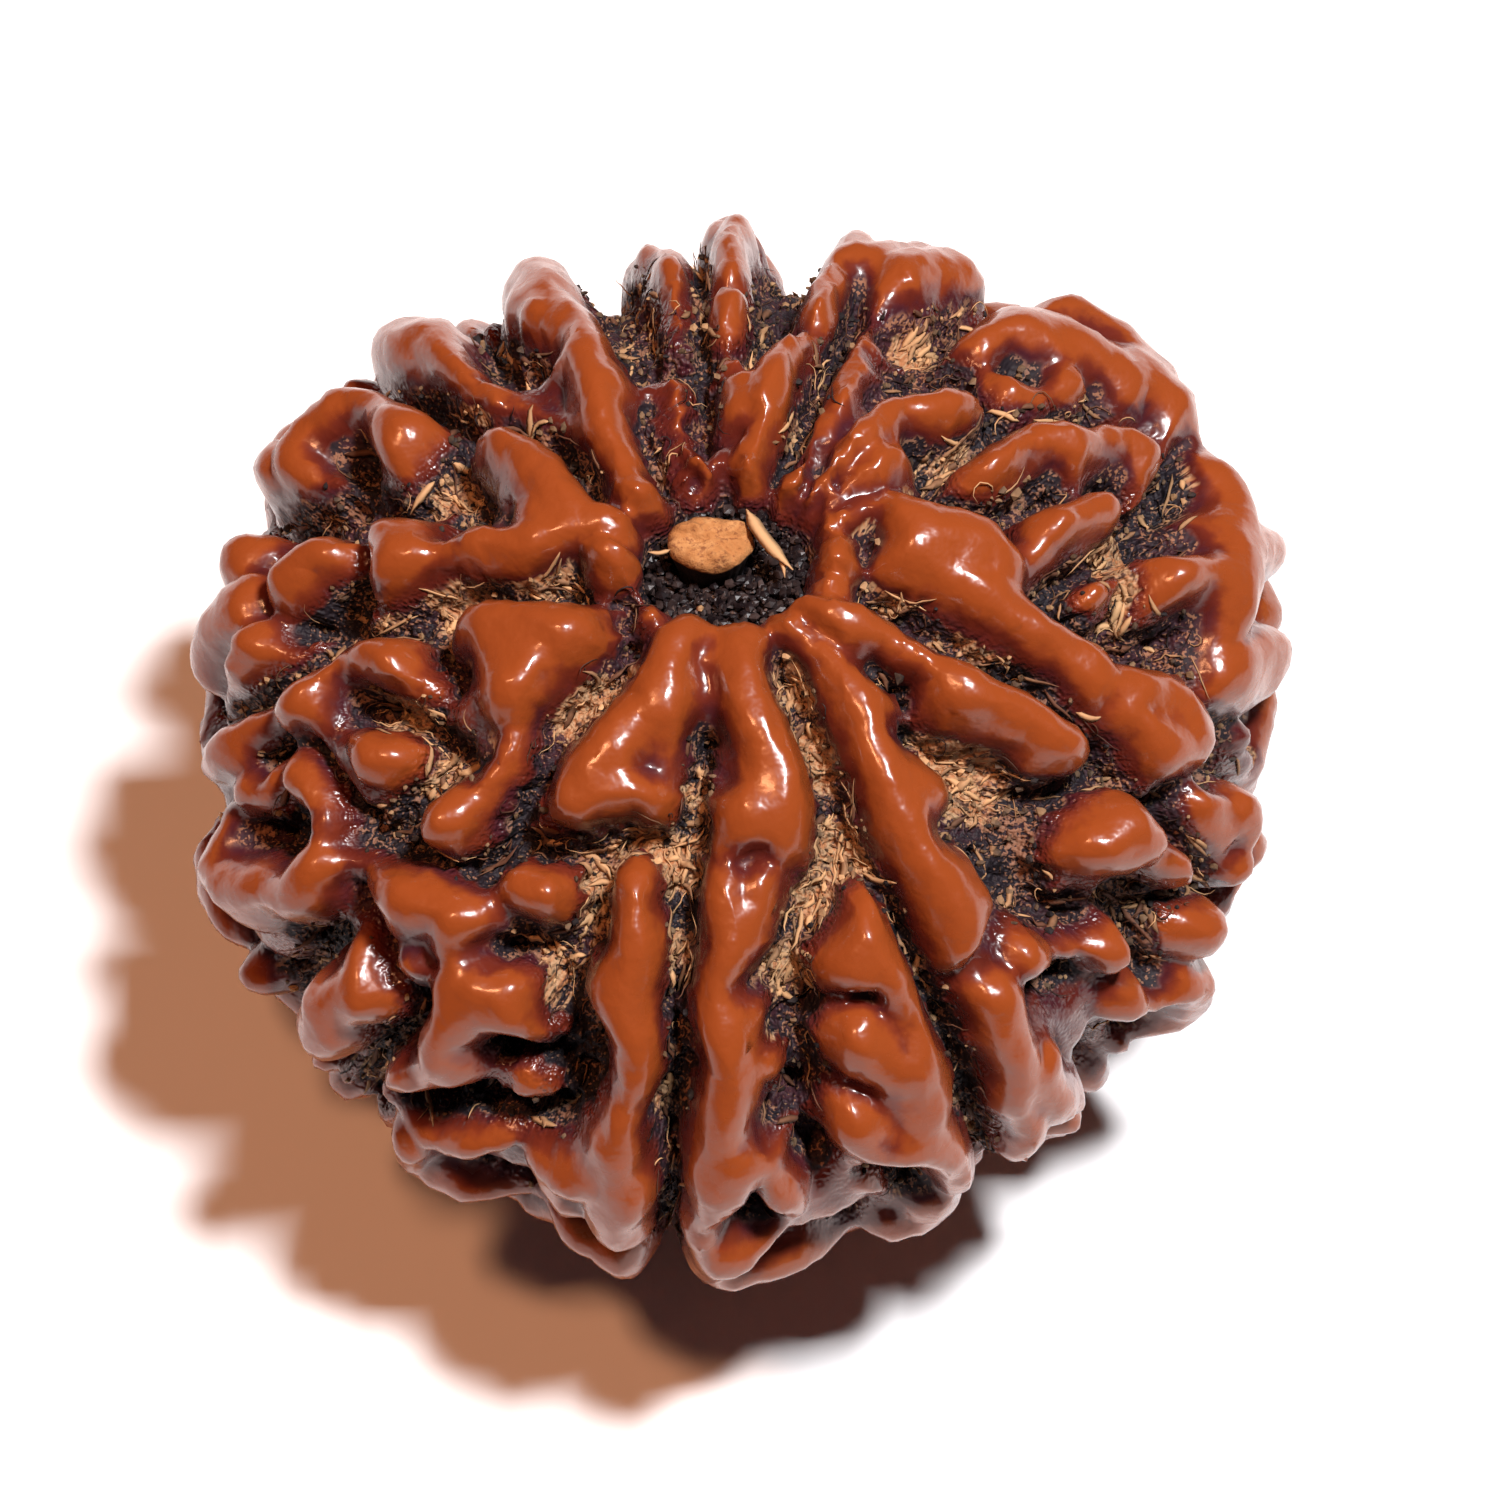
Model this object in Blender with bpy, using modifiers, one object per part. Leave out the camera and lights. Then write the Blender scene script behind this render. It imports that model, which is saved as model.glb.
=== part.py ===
"""A many-faced rudraksha bead: the dried, ridged stone of a fruit, with its pith plug.

The stone is a squat ball. Sutures run from pole to pole and part it into swollen faces, and each
face is broken up by ridges, pits and furrows. Places on it are given as an azimuth in degrees,
0 towards -Y and growing towards +X, and a colatitude in degrees, 0 at the upper pole.
Lengths are in millimetres up to the point where they become mesh coordinates in metres.
"""

import math

import bmesh
import bpy
import numpy as np

MM = 0.001

# Driving sizes of the stone
HALF_HEIGHT = 9.6
CREST = 2.0
SWELL = 1.05
LIP = 0.8
PLUMPNESS = 0.22
RIDGE_SPREAD = 0.14
POLE_DIMPLE = 0.9
DIMPLE_SPREAD = 9.0
PIT_AT = (0.0, 0.62)
PIT_RADIUS = 2.25
PIT_SQUASH = 0.87
PIT_LIP = 0.45
PIT_WALL = 0.22
PIT_FLOOR = -0.8
RIM_SINK = 0.5
RIM_SPREAD = 1.5
RIM_HEIGHT = 1.6
PLEATING = 0.2
FLAT_TRIM = 0.45

# Pith plug: where it stands in the pit, its size, and the height of its foot over the bead's middle
PITH_RADIUS = 1.05
PITH_TAPER = 0.35
PITH_HEIGHT = 1.85
PITH_AT = (-0.36, 0.95)
PITH_SQUASH = 0.72
PITH_FOOT = 6.65

# Mesh of the stone: even skin first, then thinned
BALL_SUBDIVISIONS = 7
SKIN_STEP = 0.15
SKIN_SMOOTHING = 3
STONE_TRIANGLES = 11400

# Colours
STONE_COLOUR = (0.33, 0.075, 0.018)
PITH_COLOUR = (0.55, 0.3, 0.13)

# How high the eye stands over the bead where the furrows were noted, and how deep it sees into them
SIGHT_ELEVATION = 63.0
SIGHT_DEPTH = 1.3
RIDGE_DEPTH = 0.5
POLE_SHALLOWS = 24.0

# Radius of the crests round the bead, as azimuth and radius: no two faces stand out alike
GIRTH = (
    (0, 13.2), (10, 12.7), (20, 12.6), (32, 12.7), (48, 12.1), (65, 12.9), (80, 12.95), (91, 12.8),
    (104, 13.8), (117, 14.0), (128, 14.1), (138, 14.0), (150, 13.5), (165, 13.2), (180, 13.4), (200, 13.0),
    (217, 13.2), (237, 13.2), (253, 12.8), (270, 12.9), (291, 12.85), (304, 12.6), (317, 12.95),
    (328, 12.6), (338, 12.5), (347, 12.9), (360, 13.2),
)

# Furthest that the eye sees down past a crest, as azimuth and length
SIGHT_LIMITS = (
    (0, 1.7), (50, 1.6), (90, 1.2), (130, 1.0), (180, 0.9), (225, 1.0), (250, 1.3), (275, 1.7), (360, 1.7),
)

# Softness of the joins, in millimetres
FURROW_JOIN = 0.12
RIDGE_JOIN = 0.1

# Furrows and pits that bare the floor, each a run of (azimuth, colatitude, half width)
FURROWS = (
    # face that looks at the viewer, its two sutures and what lies between them
    ((-7.5, 19, 0.1), (-7, 24, 0.28), (-7.5, 29, 0.36), (-6.8, 33, 0.22), (-6.5, 40, 0.18), (-6, 50, 0.22),
     (-6, 60, 0.26), (-6, 70, 0.24), (-5.8, 80, 0.25), (-5.8, 95, 0.25), (-5.8, 108, 0.2)),
    ((24, 30, 0.12), (24.5, 35, 0.15), (26, 40, 0.18), (26.2, 46, 0.1), (26, 52, 0.14), (27.5, 57, 0.28),
     (27.5, 66, 0.26), (27.8, 75, 0.22), (28.5, 86, 0.2), (29, 98, 0.2)),
    ((28, 12.5, 0.08), (26.5, 16, 0.24), (24, 20, 0.3), (22.5, 25, 0.33), (21, 29, 0.36), (19, 34, 0.36),
     (13, 38, 0.33), (9, 42, 0.36), (4.5, 43, 0.22)),
    ((9, 43, 0.3), (10.5, 47, 0.33), (6.5, 49.5, 0.28)),
    ((9, 52, 0.18), (9, 57, 0.33), (8, 60, 0.38), (5, 60.5, 0.28)),
    ((2, 75, 0.18), (3, 77.5, 0.24)),
    ((8.5, 67, 0.32), (10, 70.5, 0.28)),
    ((16.5, 74.5, 0.42), (18.5, 79, 0.33), (20.5, 85, 0.22)),
    # next face to the left
    ((-8, 30.5, 0.26), (-13, 30.3, 0.2), (-17, 31, 0.18), (-20, 33.5, 0.24), (-21, 37, 0.34),
     (-20.5, 42, 0.3), (-21.5, 47, 0.3), (-23, 51.5, 0.24)),
    ((-30, 35.5, 0.13), (-25, 34.3, 0.14), (-21, 34.5, 0.18)),
    ((-31, 46.8, 0.22), (-26, 45.6, 0.15), (-21, 46, 0.18)),
    ((-18, 52, 0.35), (-16, 57, 0.45), (-17, 62, 0.28)),
    ((-26.4, 58.6, 0.2), (-25.4, 59.6, 0.2)),
    ((-21.4, 58, 0.2), (-20.4, 59.6, 0.2)),
    ((-36, 76.5, 0.2), (-31.5, 74, 0.3), (-26.5, 69.5, 0.32), (-21.5, 68.5, 0.3), (-18, 67, 0.24)),
    ((-48, 12.5, 0.1), (-45, 16, 0.26), (-43.5, 20, 0.3), (-42.5, 24, 0.26), (-41, 28, 0.22),
     (-39.5, 32, 0.2), (-37.5, 34.5, 0.2)),
    ((-36.5, 36.6, 0.22), (-32, 36.2, 0.18)),
    ((-37, 36.5, 0.2), (-38, 40, 0.2)),
    ((-38, 58, 0.22), (-37, 63, 0.28), (-40, 68, 0.28), (-41, 75, 0.22), (-42, 84, 0.2), (-42, 96, 0.2)),
    # faces on the left
    ((-67, 11, 0.06), (-62, 12, 0.08)),
    ((-72, 40, 0.26), (-68, 37, 0.26), (-64, 35, 0.26), (-59, 34.3, 0.24)),
    ((-57, 33.5, 0.16), (-54, 34, 0.24), (-53.5, 39, 0.32), (-54, 45, 0.55), (-56.5, 48.5, 0.2)),
    ((-51, 45, 0.3), (-49, 44.4, 0.18), (-45, 43, 0.12), (-40.5, 41.5, 0.12), (-38, 39, 0.14)),
    ((-70, 47, 0.12), (-66, 46.6, 0.18), (-61, 46.6, 0.17)),
    ((-74, 51.6, 0.13), (-73.6, 56, 0.18)),
    ((-63, 54.5, 0.3), (-65.5, 58, 0.4), (-67.5, 62, 0.4), (-69, 65, 0.2)),
    ((-51, 52.5, 0.14), (-46, 53, 0.24), (-43, 55.5, 0.24)),
    ((-56.5, 68, 0.35), (-53.5, 65, 0.34), (-50, 62, 0.2)),
    ((-53, 70, 0.35), (-55, 80, 0.5), (-56, 95, 0.4)),
    ((-76, 14.5, 0.06), (-81, 16, 0.16), (-86, 16, 0.12)),
    ((-82, 17, 0.22), (-83.5, 22, 0.26), (-84, 27, 0.32), (-83, 32, 0.28), (-83, 36, 0.12),
     (-82.5, 42, 0.12), (-82, 49, 0.18), (-82.5, 57, 0.13), (-83.5, 63, 0.13), (-83, 72, 0.1),
     (-83, 84, 0.12), (-83, 98, 0.15)),
    ((-80, 28.6, 0.26), (-77, 29.4, 0.16), (-73, 30, 0.18)),
    ((-68, 28.6, 0.2), (-66.4, 28.6, 0.22)),
    ((-96, 37.5, 0.13), (-92, 38.6, 0.26), (-91, 42, 0.3)),
    ((-89.5, 40, 0.18), (-85, 40.5, 0.18), (-84.5, 43, 0.16)),
    ((-89.5, 45, 0.16), (-88.5, 47, 0.14)),
    ((-82, 75, 0.2), (-79, 77, 0.35), (-75, 80, 0.3)),
    ((-116, 33.2, 0.16), (-112, 29, 0.22), (-108, 26.6, 0.33), (-103, 28, 0.26), (-99.5, 28, 0.16)),
    ((-110, 33, 0.28), (-108, 38, 0.38), (-108, 43, 0.5), (-108, 49, 0.5), (-109, 56, 0.36),
     (-110, 64, 0.25), (-110, 76, 0.2), (-109, 90, 0.2)),
    ((-104.5, 39, 0.24), (-103.5, 41.5, 0.2)),
    ((-127, 33.6, 0.1), (-122, 33, 0.14), (-117, 32.6, 0.12)),
    ((-127, 15, 0.08), (-129, 17, 0.16), (-130.5, 22, 0.22), (-130, 27, 0.18), (-128.5, 32, 0.12),
     (-128, 37, 0.18), (-128.5, 43, 0.22), (-129.5, 48, 0.18), (-130, 56, 0.14), (-129, 66, 0.14),
     (-129, 82, 0.2)),
    ((-116, 45.5, 0.18), (-117.5, 50, 0.18)),
    # back faces, up to the outline
    ((-144, 33, 0.2), (-142, 36, 0.42), (-141, 40, 0.36), (-144, 43, 0.26)),
    ((-141, 43, 0.26), (-144, 47, 0.28), (-147.5, 53, 0.32), (-147, 66, 0.35), (-145, 80, 0.25)),
    ((-147, 12, 0.08), (-151, 14, 0.12), (-152, 17.5, 0.12), (-154, 19.5, 0.12)),
    ((-174, 27, 0.3), (-169, 27.5, 0.26), (-164, 29, 0.36), (-161, 27.5, 0.2)),
    ((-163.5, 33, 0.45), (-163.5, 42, 0.65), (-164.5, 55, 0.6), (-165, 70, 0.6), (-165, 84, 0.4)),
    ((-161.5, 33, 0.24), (-161.5, 42, 0.22)),
    ((-176, 15, 0.16), (-173, 17, 0.2), (-174.5, 22, 0.22), (-175.5, 27, 0.26), (-175, 34, 0.1),
     (-176, 42, 0.04), (-176.5, 56, 0.04), (-175, 72, 0.15)),
    ((168, 32, 0.08), (170, 29, 0.12), (174, 26.4, 0.08)),
    ((174, 29, 0.2), (172.5, 33, 0.3), (172.5, 38, 0.4), (172, 46, 0.5), (172, 60, 0.6), (172, 72, 0.5),
     (171, 84, 0.3)),
    ((154.5, 14, 0.1), (156, 18.5, 0.16), (157.5, 24.5, 0.2), (158.5, 31, 0.2), (159.5, 38.5, 0.18),
     (160.5, 45, 0.08)),
    ((162, 64, 0.1), (163, 84, 0.2)),
    ((151, 36, 0.16), (151.5, 40, 0.4), (150, 43.5, 0.28)),
    ((147, 44, 0.16), (148, 48, 0.22)),
    # faces on the right
    ((132, 33, 0.16), (136, 32.5, 0.26), (139, 30.5, 0.18), (141, 27, 0.18), (144, 25, 0.16)),
    ((138, 35, 0.28), (143, 34, 0.28), (145, 31, 0.24)),
    ((143.5, 34.5, 0.18), (146, 40, 0.2), (147, 46, 0.16), (145, 54, 0.26), (143, 64, 0.3),
     (143, 80, 0.25)),
    ((133, 40, 0.2), (131, 41, 0.16)),
    ((125.5, 48, 0.14), (124.6, 48.6, 0.12)),
    ((118, 21, 0.18), (121, 22, 0.3), (126, 22, 0.26)),
    ((122, 24, 0.22), (124, 30, 0.22), (125, 34, 0.16), (123.5, 37.5, 0.06), (122.5, 42, 0.1),
     (121.5, 50, 0.1), (121, 54, 0.1)),
    ((120.5, 73, 0.14), (119, 84, 0.16)),
    ((112, 20.5, 0.1), (108.5, 23, 0.22), (104.5, 26, 0.22), (100, 27.5, 0.12)),
    ((106, 27, 0.22), (108.5, 31, 0.26), (110, 34, 0.22)),
    ((110.5, 41, 0.3), (111.5, 43, 0.3)),
    ((107, 47, 0.26), (109, 51, 0.34), (111, 55, 0.36)),
    ((112, 71, 0.14), (114, 76, 0.2), (117, 88, 0.2)),
    ((110.5, 50, 0.12), (114, 56, 0.16), (117, 60, 0.14)),
    ((97, 13.4, 0.07), (103, 13.8, 0.07)),
    ((88, 33, 0.26), (93, 35, 0.3), (96, 37.5, 0.26), (101, 42, 0.22), (103, 44.5, 0.16)),
    ((92, 44.6, 0.2), (95, 44.6, 0.16)),
    ((101.5, 48.5, 0.26), (102.5, 51.5, 0.24)),
    ((86, 36, 0.26), (84.5, 40, 0.26), (84.5, 44, 0.26), (87, 48, 0.5), (90, 54, 0.5), (86, 57, 0.26)),
    ((83, 60, 0.2), (82, 66, 0.3), (82, 78, 0.3), (83, 92, 0.25)),
    ((79, 14, 0.1), (75, 16.5, 0.2), (72, 19, 0.25), (70, 23, 0.28), (69, 28, 0.28), (69.5, 33, 0.22),
     (69, 38, 0.1), (67, 43, 0.26), (65.5, 48, 0.13), (66, 53, 0.13), (67.5, 57, 0.22), (66.8, 63, 0.1),
     (66.3, 72, 0.1), (66, 84, 0.14), (66, 98, 0.18)),
    ((68.4, 54, 0.16), (70, 56.5, 0.18)),
    ((75, 62, 0.17), (76, 63.4, 0.15)),
    ((50.5, 20, 0.1), (51, 23, 0.13)),
    ((43, 26, 0.1), (46, 26, 0.1)),
    ((46.5, 29.5, 0.18), (49, 32, 0.3), (53.5, 35, 0.2)),
    ((39, 36, 0.18), (44, 37, 0.36), (50, 37, 0.42)),
    ((45, 42, 0.52), (45, 48, 0.66), (46, 54, 0.42), (49, 57.5, 0.18)),
    ((52.5, 41, 0.26), (52, 44, 0.16)),
    ((50, 37.5, 0.3), (55, 40, 0.2), (60, 43, 0.2), (65.5, 45, 0.26)),
    ((39.5, 59.5, 0.18), (41, 61.5, 0.18), (45, 63.5, 0.12)),
    ((56, 58.5, 0.22), (56.5, 63, 0.36), (54.5, 69, 0.38), (54, 75, 0.3)),
    ((57, 62, 0.1), (60.5, 66, 0.1), (63.5, 69.5, 0.08)),
    ((46, 84, 0.3), (46, 96, 0.3)),
)

# Ridges that rise over the swollen surface, each a half width, a crest height and its run of places
RIDGES = (
    # face that looks at the viewer
    (0.4, 1.75, ((-11, 5.5), (-9.5, 11), (-9, 15), (-8.5, 20))),
    (1.1, 2.0, ((9, 5.5), (8, 14), (8, 20))),
    (0.8, 2.1, ((12, 18), (14, 22), (12, 26))),
    (0.9, 1.9, ((4, 18), (5, 24), (6, 28))),
    (0.5, 1.9, ((5, 27), (10, 29), (17, 31.5))),
    (0.5, 1.95, ((-2, 20), (-2.5, 27), (-1.5, 34), (-0.5, 40), (0.5, 43))),
    (0.6, 1.7, ((6, 33), (7, 36), (4, 39))),
    (0.7, 2.05, ((0, 43), (-1, 49), (0, 55), (-1, 62))),
    (0.45, 1.8, ((1, 50), (5, 47), (8, 45))),
    (0.6, 1.8, ((3, 52), (5, 55))),
    (0.65, 2.05, ((-2, 60), (-2.5, 68), (-2, 76), (-3, 86), (-3.5, 96), (-4, 104))),
    (0.8, 2.0, ((20.5, 38), (20, 43), (19, 47))),
    (0.5, 2.15, ((22.5, 40), (23.5, 48), (24, 56), (22.5, 61))),
    (0.55, 1.85, ((15, 44), (15.5, 48))),
    (0.6, 2.05, ((11.5, 51), (15, 54.5), (19, 58), (22, 61.5))),
    (0.8, 2.05, ((22, 62), (22, 68), (21, 72), (24, 77), (25, 84), (26, 90))),
    (0.7, 2.1, ((-1, 72), (1.5, 67), (5, 64), (9, 63.5), (13, 67), (17, 71), (20, 74))),
    (0.6, 2.05, ((6, 70), (6.5, 76), (4.5, 83), (1, 88), (-2, 91))),
    (0.5, 2.0, ((14.5, 76), (16, 82), (19, 88), (24, 93.5), (26, 90))),
    # next face to the left
    (0.65, 2.15, ((-11.5, 34), (-10, 40), (-10, 48), (-9.5, 56), (-10, 66), (-10, 78), (-11, 90),
                  (-11, 104))),
    (0.8, 1.95, ((-14.5, 40), (-15, 45.5), (-12.5, 51))),
    (0.6, 1.95, ((-13, 60), (-12.5, 70), (-11.5, 82))),
    (0.55, 2.1, ((-33, 27), (-29, 22), (-25, 17.5), (-24, 13), (-32, 5.5))),
    (0.5, 1.95, ((-21, 5.5), (-19, 14), (-17, 20), (-14, 22.5), (-13, 26))),
    (0.5, 2.0, ((-32, 29), (-25, 27.8), (-18, 27), (-13, 25))),
    (0.55, 2.1, ((-40, 42), (-34, 40.6), (-28, 40.6), (-25, 41))),
    (0.9, 2.0, ((-30, 51), (-27, 54), (-29, 61))),
    (0.5, 1.9, ((-30, 64), (-25, 64.4), (-20, 63.5))),
    (0.8, 2.1, ((-38, 81), (-35, 83), (-31, 81), (-27, 76.5), (-23, 73), (-19, 73), (-16, 76))),
    (0.5, 1.8, ((-21, 75), (-18, 81), (-17, 87))),
    # faces on the left
    (0.6, 2.1, ((-77, 23), (-72, 19), (-66, 17), (-58, 17.5), (-52, 19))),
    (0.9, 1.95, ((-75, 25), (-68, 24), (-62, 22))),
    (0.7, 2.0, ((-56, 18), (-54, 13), (-60, 6.5))),
    (0.5, 1.9, ((-69, 17), (-75, 11), (-80, 8))),
    (0.8, 2.1, ((-57, 25), (-50, 24.5), (-46, 27), (-44, 31), (-42, 36), (-44, 38.5), (-48, 39.5))),
    (0.8, 2.05, ((-76, 33), (-77, 38), (-78, 44), (-77, 50))),
    (0.5, 2.0, ((-70, 42.4), (-65, 42), (-60, 39.5), (-57, 38.4))),
    (0.95, 2.2, ((-68.5, 51), (-65, 51.5), (-63, 52.5))),
    (0.6, 1.95, ((-78, 52), (-78, 58), (-79, 62))),
    (0.6, 2.0, ((-75, 60), (-73, 65), (-71, 69))),
    (0.5, 1.85, ((-66, 68), (-64, 66.5))),
    (0.7, 2.05, ((-57, 52), (-58, 57), (-59, 62), (-60, 68), (-65, 74), (-70, 78))),
    (0.8, 2.05, ((-52, 50), (-47, 50.5), (-41, 45), (-37, 48), (-34, 51))),
    (0.6, 1.9, ((-47, 58), (-46.5, 62), (-45, 66))),
    (0.5, 1.9, ((-42, 58), (-41, 64))),
    (0.8, 2.15, ((-49, 69), (-47.5, 74), (-49, 78))),
    (0.9, 2.05, ((-32, 54), (-33, 60), (-34, 66), (-37, 70), (-39, 75))),
    (0.6, 1.95, ((-87, 44), (-87, 50), (-87, 57))),
    (0.5, 1.95, ((-89, 62), (-87, 68), (-85, 75))),
    (0.5, 1.9, ((-81, 65), (-83, 72), (-84, 79))),
    (0.5, 2.0, ((-73, 72), (-71, 78), (-73, 85))),
    (0.8, 2.1, ((-101, 8), (-98, 17), (-95, 21), (-94, 26), (-93, 31), (-96, 35), (-100, 33.5))),
    (0.65, 2.1, ((-101, 38), (-102, 43), (-100, 48), (-98, 52))),
    (0.6, 2.05, ((-97, 46), (-95, 50))),
    (0.6, 2.05, ((-98, 62), (-97, 68), (-96, 75))),
    (0.5, 2.0, ((-91, 53), (-91, 58))),
    (0.9, 2.1, ((-120, 18), (-123, 23), (-124, 28))),
    (0.6, 1.9, ((-115, 8), (-113, 16), (-109, 20))),
    (0.75, 2.1, ((-118, 37), (-122, 40), (-126, 45), (-128, 51), (-127, 57))),
    (0.6, 2.1, ((-124, 58), (-118, 61), (-113.5, 57), (-112, 51))),
    (0.9, 2.2, ((-117, 67), (-111, 67), (-106, 68))),
    (0.45, 2.15, ((-129, 8), (-138, 16), (-136, 22), (-134, 28), (-132.5, 34), (-133, 39), (-136, 44),
                  (-135, 50), (-132, 60))),
    (0.9, 2.15, ((-137.5, 46), (-138, 51), (-137, 56), (-138, 63))),
    # back faces, up to the outline
    (0.5, 2.15, ((-133, 9), (-142.5, 16.5), (-147, 22), (-150, 27), (-153, 33.5), (-155, 40),
                 (-155, 53), (-156, 60))),
    (0.9, 2.1, ((-150, 34), (-148.5, 42), (-149, 50), (-152, 57))),
    (0.06, 1.95, ((-174, 7.5), (-169, 11), (-167, 15))),
    (0.14, 1.95, ((-167, 15), (-168, 20), (-169, 25))),
    (0.1, 1.9, ((-163, 8), (-159.5, 14), (-158.5, 23))),
    (0.35, 2.1, ((-170, 31), (-170.5, 36), (-171.5, 42), (-171.5, 48))),
    (0.5, 1.45, ((-171.5, 48), (-171.5, 55), (-171.5, 63))),
    (0.4, 2.05, ((178, 15), (179, 19), (179, 23))),
    (0.4, 2.15, ((178.5, 28), (179, 33), (179.5, 37))),
    (0.4, 2.15, ((180, 43), (179.5, 50), (180, 60))),
    (0.12, 2.0, ((162, 7.5), (165, 11), (168, 15))),
    (0.3, 2.05, ((168, 15), (169, 19), (168, 24), (166, 29))),
    (0.45, 2.15, ((166, 29), (165, 38), (164.5, 46), (164, 54), (165, 62))),
    (0.1, 2.0, ((145, 8), (148, 13), (150.5, 19))),
    (0.22, 2.1, ((150.5, 19), (153.5, 27), (156, 35))),
    (0.4, 2.1, ((164, 46), (162, 52), (160, 58), (158, 62))),
    (1.0, 2.15, ((157.5, 40), (157, 47), (155, 54), (154, 61))),
    # faces on the right
    (0.8, 2.1, ((132, 18), (132, 24), (131, 29), (129, 33))),
    (0.1, 2.0, ((134, 8), (136, 12), (137, 18))),
    (0.3, 2.0, ((137, 18), (138, 23), (136, 27))),
    (0.06, 1.9, ((117, 8), (120, 12), (119, 17))),
    (0.06, 1.9, ((126, 8), (127, 12), (128, 18))),
    (0.8, 2.05, ((106, 8), (107, 14), (106, 19), (103, 23))),
    (0.9, 1.95, ((134, 41), (130, 44), (127, 47))),
    (0.5, 1.95, ((126, 37), (126.5, 42), (127, 48))),
    (0.8, 2.0, ((133, 34), (137.5, 36.5), (139, 41), (137.5, 46))),
    (1.1, 2.05, ((137, 49), (135, 53), (132, 56), (128, 57))),
    (0.95, 2.2, ((139, 62), (134, 65), (129, 67))),
    (1.0, 2.15, ((128.5, 63), (123.5, 63.5), (118.5, 64), (113.5, 64), (109, 64), (103, 62.5), (97, 61.5))),
    (0.8, 2.1, ((97, 61.5), (92, 60), (89, 57))),
    (0.75, 2.1, ((112, 25), (114, 28), (116.5, 31.5), (117.5, 36), (117, 41), (117, 46), (114, 51))),
    (0.5, 1.9, ((125, 44), (123.5, 49), (124, 54))),
    (0.6, 2.0, ((124, 68), (126, 74), (129, 80))),
    (0.8, 2.1, ((93, 8), (96, 17), (98, 22), (97, 27))),
    (0.8, 1.95, ((87, 17), (87, 21), (88, 27))),
    (0.6, 2.1, ((101, 31), (103, 36), (105, 41))),
    (0.5, 2.0, ((91, 40), (95, 40.5))),
    (0.7, 2.15, ((97, 46), (98, 52), (100, 57), (103, 61), (106, 68), (108, 76))),
    (0.7, 2.1, ((83, 8), (82, 18), (79, 24), (77, 30), (75.5, 36), (74, 40))),
    (0.7, 1.85, ((83, 27), (82, 33), (80, 40))),
    (0.8, 2.05, ((73, 47), (74, 53), (73, 57))),
    (0.75, 1.95, ((80, 47), (80.5, 53), (78, 58))),
    (0.5, 1.95, ((69, 60), (70, 66), (71, 72))),
    (0.5, 2.0, ((74, 66), (76.5, 70), (76, 77))),
    (0.5, 1.95, ((68.5, 75), (71, 80), (74, 84))),
    (0.8, 2.1, ((87, 61), (90, 66), (94, 73), (97, 82))),
    (0.75, 2.15, ((64, 6.5), (60, 16), (61, 22), (61, 26), (62, 32), (64, 38), (64.5, 41.5))),
    (0.6, 2.05, ((53, 47), (57, 50.5), (60, 54))),
    (0.5, 2.15, ((62, 46), (62.5, 51), (61.5, 57))),
    (0.45, 2.0, ((60, 62), (63, 66), (64.5, 71))),
    (0.5, 2.0, ((57.5, 69), (60, 74), (63, 79))),
    (0.7, 2.0, ((52, 80), (57, 85), (61, 91))),
    (0.6, 1.9, ((50, 6), (46, 18), (45, 23), (42, 29), (41, 33))),
    (0.6, 2.1, ((46, 6), (38.5, 17), (36, 21.5), (34.5, 26.5), (34, 31), (34.5, 36))),
    (0.95, 2.15, ((34.5, 39), (34, 44), (32, 48), (30.5, 51))),
    (0.75, 2.05, ((34, 59), (33, 63), (33, 68), (31.5, 76), (32, 88))),
    (0.6, 1.95, ((42, 57), (47, 60), (51, 65), (52, 68))),
    (0.5, 1.95, ((37, 73), (38, 82), (38, 90))),
)

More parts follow.
